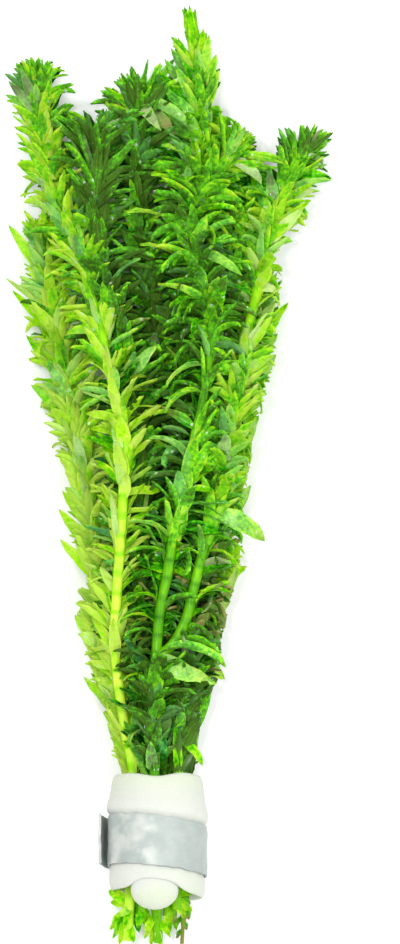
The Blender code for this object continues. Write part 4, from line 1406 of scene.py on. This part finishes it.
middle = (FOAM_LIP + FOAM_FOOT) / 2
bpy.ops.object.select_all(action="DESELECT")
bpy.ops.mesh.primitive_cylinder_add(
    vertices=72, radius=1 * MM, depth=FOAM_LIP - FOAM_FOOT, end_fill_type="NOTHING",
    location=(FOAM_CENTRE.x, middle, FOAM_CENTRE.z), rotation=(math.pi / 2, 0, 0),
)
foam = bpy.context.object
foam.name = foam.data.name = "foam_roll"
bpy.ops.object.transform_apply(location=True, rotation=True, scale=True)
bpy.ops.object.mode_set(mode="EDIT")
for y, _ in FOAM_RINGS[1:-1]:
    bpy.ops.mesh.select_all(action="SELECT")
    bpy.ops.mesh.bisect(plane_co=(0, y * MM, 0), plane_no=(0, 1, 0))
for y, radius in FOAM_RINGS:
    pick_verts(foam, lambda index, place: abs(place.y - y * MM) < 0.02 * MM)
    centre = (FOAM_CENTRE.x, y * MM, FOAM_CENTRE.z)
    bpy.ops.transform.resize(value=(radius, 1, radius), center_override=centre)
bpy.ops.mesh.select_all(action="SELECT")
bpy.ops.mesh.normals_make_consistent(inside=False)
bpy.ops.object.mode_set(mode="OBJECT")
apply_modifier(foam, "SOLIDIFY", thickness=FOAM_WALL, offset=-1)
apply_modifier(foam, "SUBSURF", levels=1, render_levels=1)
print("foam tube:", triangles(foam), "triangles")

# %% [markdown]
# Foam that was cut and rolled by hand is never quite round. Its rims dip and bulge, the strip
# runs round it aslant, and it lies flat on the table. A sculpting brush would do, but moving
# every vertex by soft noise and a few rules gives the same result each time.

# %% The slant of the strip
STRIP_TOP = -88.0 * MM
STRIP_WIDTH = 12.4 * MM
STRIP_SLANT = 0.115


def slant_at(x, y):
    """The groove and the strip run aslant, and the two rims of the foam don't."""
    strip_middle = STRIP_TOP - STRIP_WIDTH / 2
    reach = STRIP_WIDTH / 2 + 0.3 * MM
    off = max(0.0, abs(y - strip_middle) - reach)
    room = (FOAM_LIP - strip_middle if y > strip_middle else strip_middle - FOAM_FOOT) - reach
    return -STRIP_SLANT * (x - FOAM_CENTRE.x) * clamped(1 - off / room)


slope = math.degrees(math.atan(STRIP_SLANT))
print(f"the strip runs {slope:.1f} degrees off square")

# %% Sag and hand-cut unevenness
UNEVEN = 0.16 * MM
BROAD_LUMPS, FINE_LUMPS, RIM_WAVES = 160, 420, 110
FOOT_FROM, LIP_FROM, SHAPED_OVER = -103.5 * MM, -80 * MM, 3 * MM
FOOT_HOLLOW, FOOT_TILT, LIP_DIP = 2.6, 0.8, 1.1
HOLLOW_REACH, TILT_REACH, DIP_REACH = 6 * MM, 11 * MM, 4.5 * MM
FOAM_LIES_AT, GROOVE_LIES_AT, PRESSED_OVER = 0.05 * MM, 0.9 * MM, 0.15 * MM


def settle_foam(thing):
    for vert in thing.data.vertices:
        place = vert.co.copy()
        out = place - Vector((FOAM_CENTRE.x, place.y, FOAM_CENTRE.z))
        soft = noise.noise(place * BROAD_LUMPS) + 0.5 * noise.noise(place * FINE_LUMPS)
        place += out.normalized() * soft * UNEVEN
        place.y += noise.noise(place * RIM_WAVES) * UNEVEN * 1.6
        foot = clamped((FOOT_FROM - place.y) / SHAPED_OVER)
        hollow = FOOT_HOLLOW * math.exp(-((out.x / HOLLOW_REACH) ** 4))
        place.y += foot * (hollow - FOOT_TILT * out.x / TILT_REACH) * MM
        lip = clamped((place.y - LIP_FROM) / SHAPED_OVER)
        place.y -= lip * LIP_DIP * math.exp(-((out.x / DIP_REACH) ** 2)) * MM
        in_groove = STRIP_TOP - STRIP_WIDTH - 0.2 * MM < place.y < STRIP_TOP + 0.2 * MM
        floor = GROOVE_LIES_AT if in_groove else FOAM_LIES_AT
        pressed = math.log1p(math.exp((place.z - floor) / PRESSED_OVER))
        place.z = floor + PRESSED_OVER * pressed
        place.y += slant_at(place.x, place.y)
        vert.co = place
    thing.data.update()


settle_foam(foam)
lowest = min(vert.co.z for vert in foam.data.vertices)
print(f"the foam lies {lowest / MM:.2f} mm above the table")

# %% [markdown]
# The roll's inner end bulges out at the foot as a rounded tongue, over the cut stems. It is a
# sphere scaled to three different sizes.

# %% The tongue
TONGUE_CENTRE = Vector((-3.2, -106.2, 19.6)) * MM
TONGUE_HALF_SIZE = Vector((5.9, 4.9, 3.1)) * MM

bpy.ops.object.select_all(action="DESELECT")
bpy.ops.mesh.primitive_uv_sphere_add(segments=48, ring_count=24, radius=1, location=TONGUE_CENTRE)
tongue = bpy.context.object
tongue.name = tongue.data.name = "foam_inner_end"
tongue.scale = TONGUE_HALF_SIZE
bpy.ops.object.transform_apply(location=True, rotation=True, scale=True)
for piece in (foam, tongue):
    piece.data.shade_smooth()
print("tongue:", triangles(tongue), "triangles")

# %% [markdown]
# White foam lets a little light in and scatters it, so it looks soft and has no hard shadows.
# Subsurface scattering does that. Its pores are a fine pattern of cells in the bump, and it is a
# little greener and darker towards both ends and in soft patches.

# %% Foam material
WHITER_FOAM, GREENER_FOAM = rgb(0.515, 0.535, 0.485), rgb(0.48, 0.54, 0.385)


def foam_material():
    material, start, shader = new_material(
        "white foam", Roughness=0.85, Subsurface_Weight=0.25, Subsurface_Scale=0.002
    )
    shader.inputs["Subsurface Radius"].default_value = (1.0, 0.9, 0.6)
    place = start.place()
    clouds, y_in_mm = place.clouds(90.0, 3.0), place.part(1) * (1 / MM)
    # a little greener and darker towards both ends and in soft patches
    ends = y_in_mm.band(-84.0, -78.0) + 1.0 - y_in_mm.band(-109.0, -104.0)
    greener_share = ends * 0.5 + clouds.band(0.5, 0.75) * 0.25
    bump = (clouds * 1.2 + place.pores(1700.0) * 0.35).relief(0.5, 0.0004)
    feed(shader, Base_Color=greener_share.colour_mix(WHITER_FOAM, GREENER_FOAM), Normal=bump)
    return material


foam_look = report(foam_material())
for piece in (foam, tongue):
    coat_with(piece, foam_look)
    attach(piece, BODY)
    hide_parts("foam_wrap")

# %% [markdown]
# ## The metal strip
#
# The weight is a band of soft metal, bent round by hand, so it is full of shallow dents, and
# one end stands off on the left. A tube cut open would do, but on a flat sheet the dents are
# easy to place. So it is modelled flat as a fine grid, dented, and then wrapped.

# %% The strip
STRIP_RADIUS = 12.1 * MM
LOOSE_END_RADIUS = 14.5 * MM
STRIP_THICKNESS = 0.5 * MM
STRIP_START, STRIP_END, STRIP_LIFTS_FROM = 200, -192, -118
FLAT_LENGTH, FLAT_WIDTH = 82, 12.4
DENTS, WRINKLES, RAGGED = 0.30, 0.12, 0.35
DENTS_PER_MM, WRINKLES_PER_MM = 0.42, 1.1
ABOVE_TABLE = 0.3 * MM

bpy.ops.object.select_all(action="DESELECT")
bpy.ops.mesh.primitive_grid_add(x_subdivisions=150, y_subdivisions=22, size=1)
strip = bpy.context.object
strip.name = strip.data.name = "metal_strip"
bpy.ops.object.transform_apply(location=True, rotation=True, scale=True)


def wrap_strip(thing):
    for vert in thing.data.vertices:
        share, side = vert.co.x + 0.5, vert.co.y
        angle = mix(STRIP_START, STRIP_END, share)
        lifted = clamped((STRIP_LIFTS_FROM - angle) / (STRIP_LIFTS_FROM - STRIP_END))
        flat = Vector((share * FLAT_LENGTH, side * FLAT_WIDTH, 3.7))
        dent = noise.noise(flat * DENTS_PER_MM) * DENTS
        dent += noise.noise(flat * WRINKLES_PER_MM) * WRINKLES
        radius = mix(STRIP_RADIUS, LOOSE_END_RADIUS, lifted) + dent * MM * 0.8
        x = FOAM_CENTRE.x + radius * math.cos(math.radians(angle))
        z = FOAM_CENTRE.z + radius * math.sin(math.radians(angle))
        along_edge = Vector((share * 30, 5 if side > 0 else 9, 1))
        edge = noise.noise(along_edge) * RAGGED * abs(side) * 2
        y = STRIP_TOP - STRIP_WIDTH / 2 + side * STRIP_WIDTH + edge * MM
        y -= STRIP_SLANT * (x - FOAM_CENTRE.x)
        vert.co = (x, y, max(z, ABOVE_TABLE))
    thing.data.update()


wrap_strip(strip)
apply_modifier(strip, "SOLIDIFY", thickness=STRIP_THICKNESS, offset=0)
only(strip)
bpy.ops.object.shade_smooth_by_angle(angle=math.radians(40))
print("strip:", triangles(strip), "triangles")

# %% [markdown]
# Handled soft metal is dull, with lighter rubbed places and grey tarnish between them. One
# pattern of clouds decides how rubbed it is, for colour and roughness alike, so that the two
# agree, and fine specks are added. It is lighter and a little smoother on the left, where the
# loose end is, than on the right.

# %% Metal material
TARNISHED, RUBBED = rgb(0.36, 0.405, 0.385), rgb(0.50, 0.525, 0.49)


def metal_material():
    material, start, shader = new_material("soft grey metal", Metallic=0.45)
    place = start.place()
    clouds, specks = place.clouds(210.0, 4.0), place.clouds(1300.0, 3.0)
    x_in_mm = place.part(0) * (1 / MM)
    # lighter rubbed places, and lighter on the left of the strip than on the right
    rubbed_and_lighter_on_left = clouds.band(0.36, 0.66) * (1.0 - x_in_mm.band(-4.5, -2.0) * 0.7)
    roughness = 0.74 - rubbed_and_lighter_on_left * 0.10 + (specks - 0.5) * 0.2
    bump = (clouds * 0.8 + specks * 0.3).relief(0.5, 0.0003)
    colour = rubbed_and_lighter_on_left.colour_mix(TARNISHED, RUBBED)
    feed(shader, Base_Color=colour, Roughness=roughness, Normal=bump)
    return material


coat_with(strip, report(metal_material()))
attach(strip, BODY)
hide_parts("weight_strip")

# %% [markdown]
# ## Table and light
#
# The bunch lies on a plain pale table, which catches only soft shadows. A large lamp above on
# the left gives them, a weaker one stands on the right, and a wide faint one fills in from the
# side. Two small lamps give the wet leaves their glints, which a large lamp would smear. An
# even pale surround does the rest.

# %% Table
bpy.ops.object.select_all(action="DESELECT")
bpy.ops.mesh.primitive_plane_add(size=3)
table = bpy.context.object
table.name = "table"
material, _, shader = new_material("pale table", Roughness=0.9)
shader.inputs["Base Color"].default_value = rgb(0.93, 0.93, 0.93)
table.data.materials.append(report(material))

# %% Light
# place, size and power of each lamp, which all point at the middle of the table
LAMPS = {
    "key lamp": ((-0.30, 0.22, 0.95), 0.28, 4.4),
    "second lamp": ((0.24, -0.42, 0.90), 0.22, 3.0),
    "fill lamp": ((0.7, -0.1, 0.7), 0.8, 2.5),
    "glint lamp": ((-0.12, -0.10, 1.1), 0.05, 2.0),
    "second glint lamp": ((0.30, 0.15, 1.0), 0.05, 1.2),
}
for name, (place, size, power) in LAMPS.items():
    bpy.ops.object.light_add(type="AREA", location=place)
    lamp = bpy.context.object
    lamp.name = name
    lamp.data.size = size
    lamp.data.energy = power
    lamp.rotation_euler = (-Vector(place)).to_track_quat("-Z", "Y").to_euler()

world = bpy.data.worlds.new("surround")
bpy.context.scene.world = world
world.use_nodes = True
surround = world.node_tree.nodes["Background"].inputs
surround["Color"].default_value = rgb(1, 1, 1)
surround["Strength"].default_value = 0.78
bpy.context.scene.view_settings.view_transform = "Standard"
print(len(LAMPS), "lamps and the surround")

# %% Put the tools away
for spare in (leaf, *wardrobe.values()):
    bpy.data.objects.remove(spare, do_unlink=True)
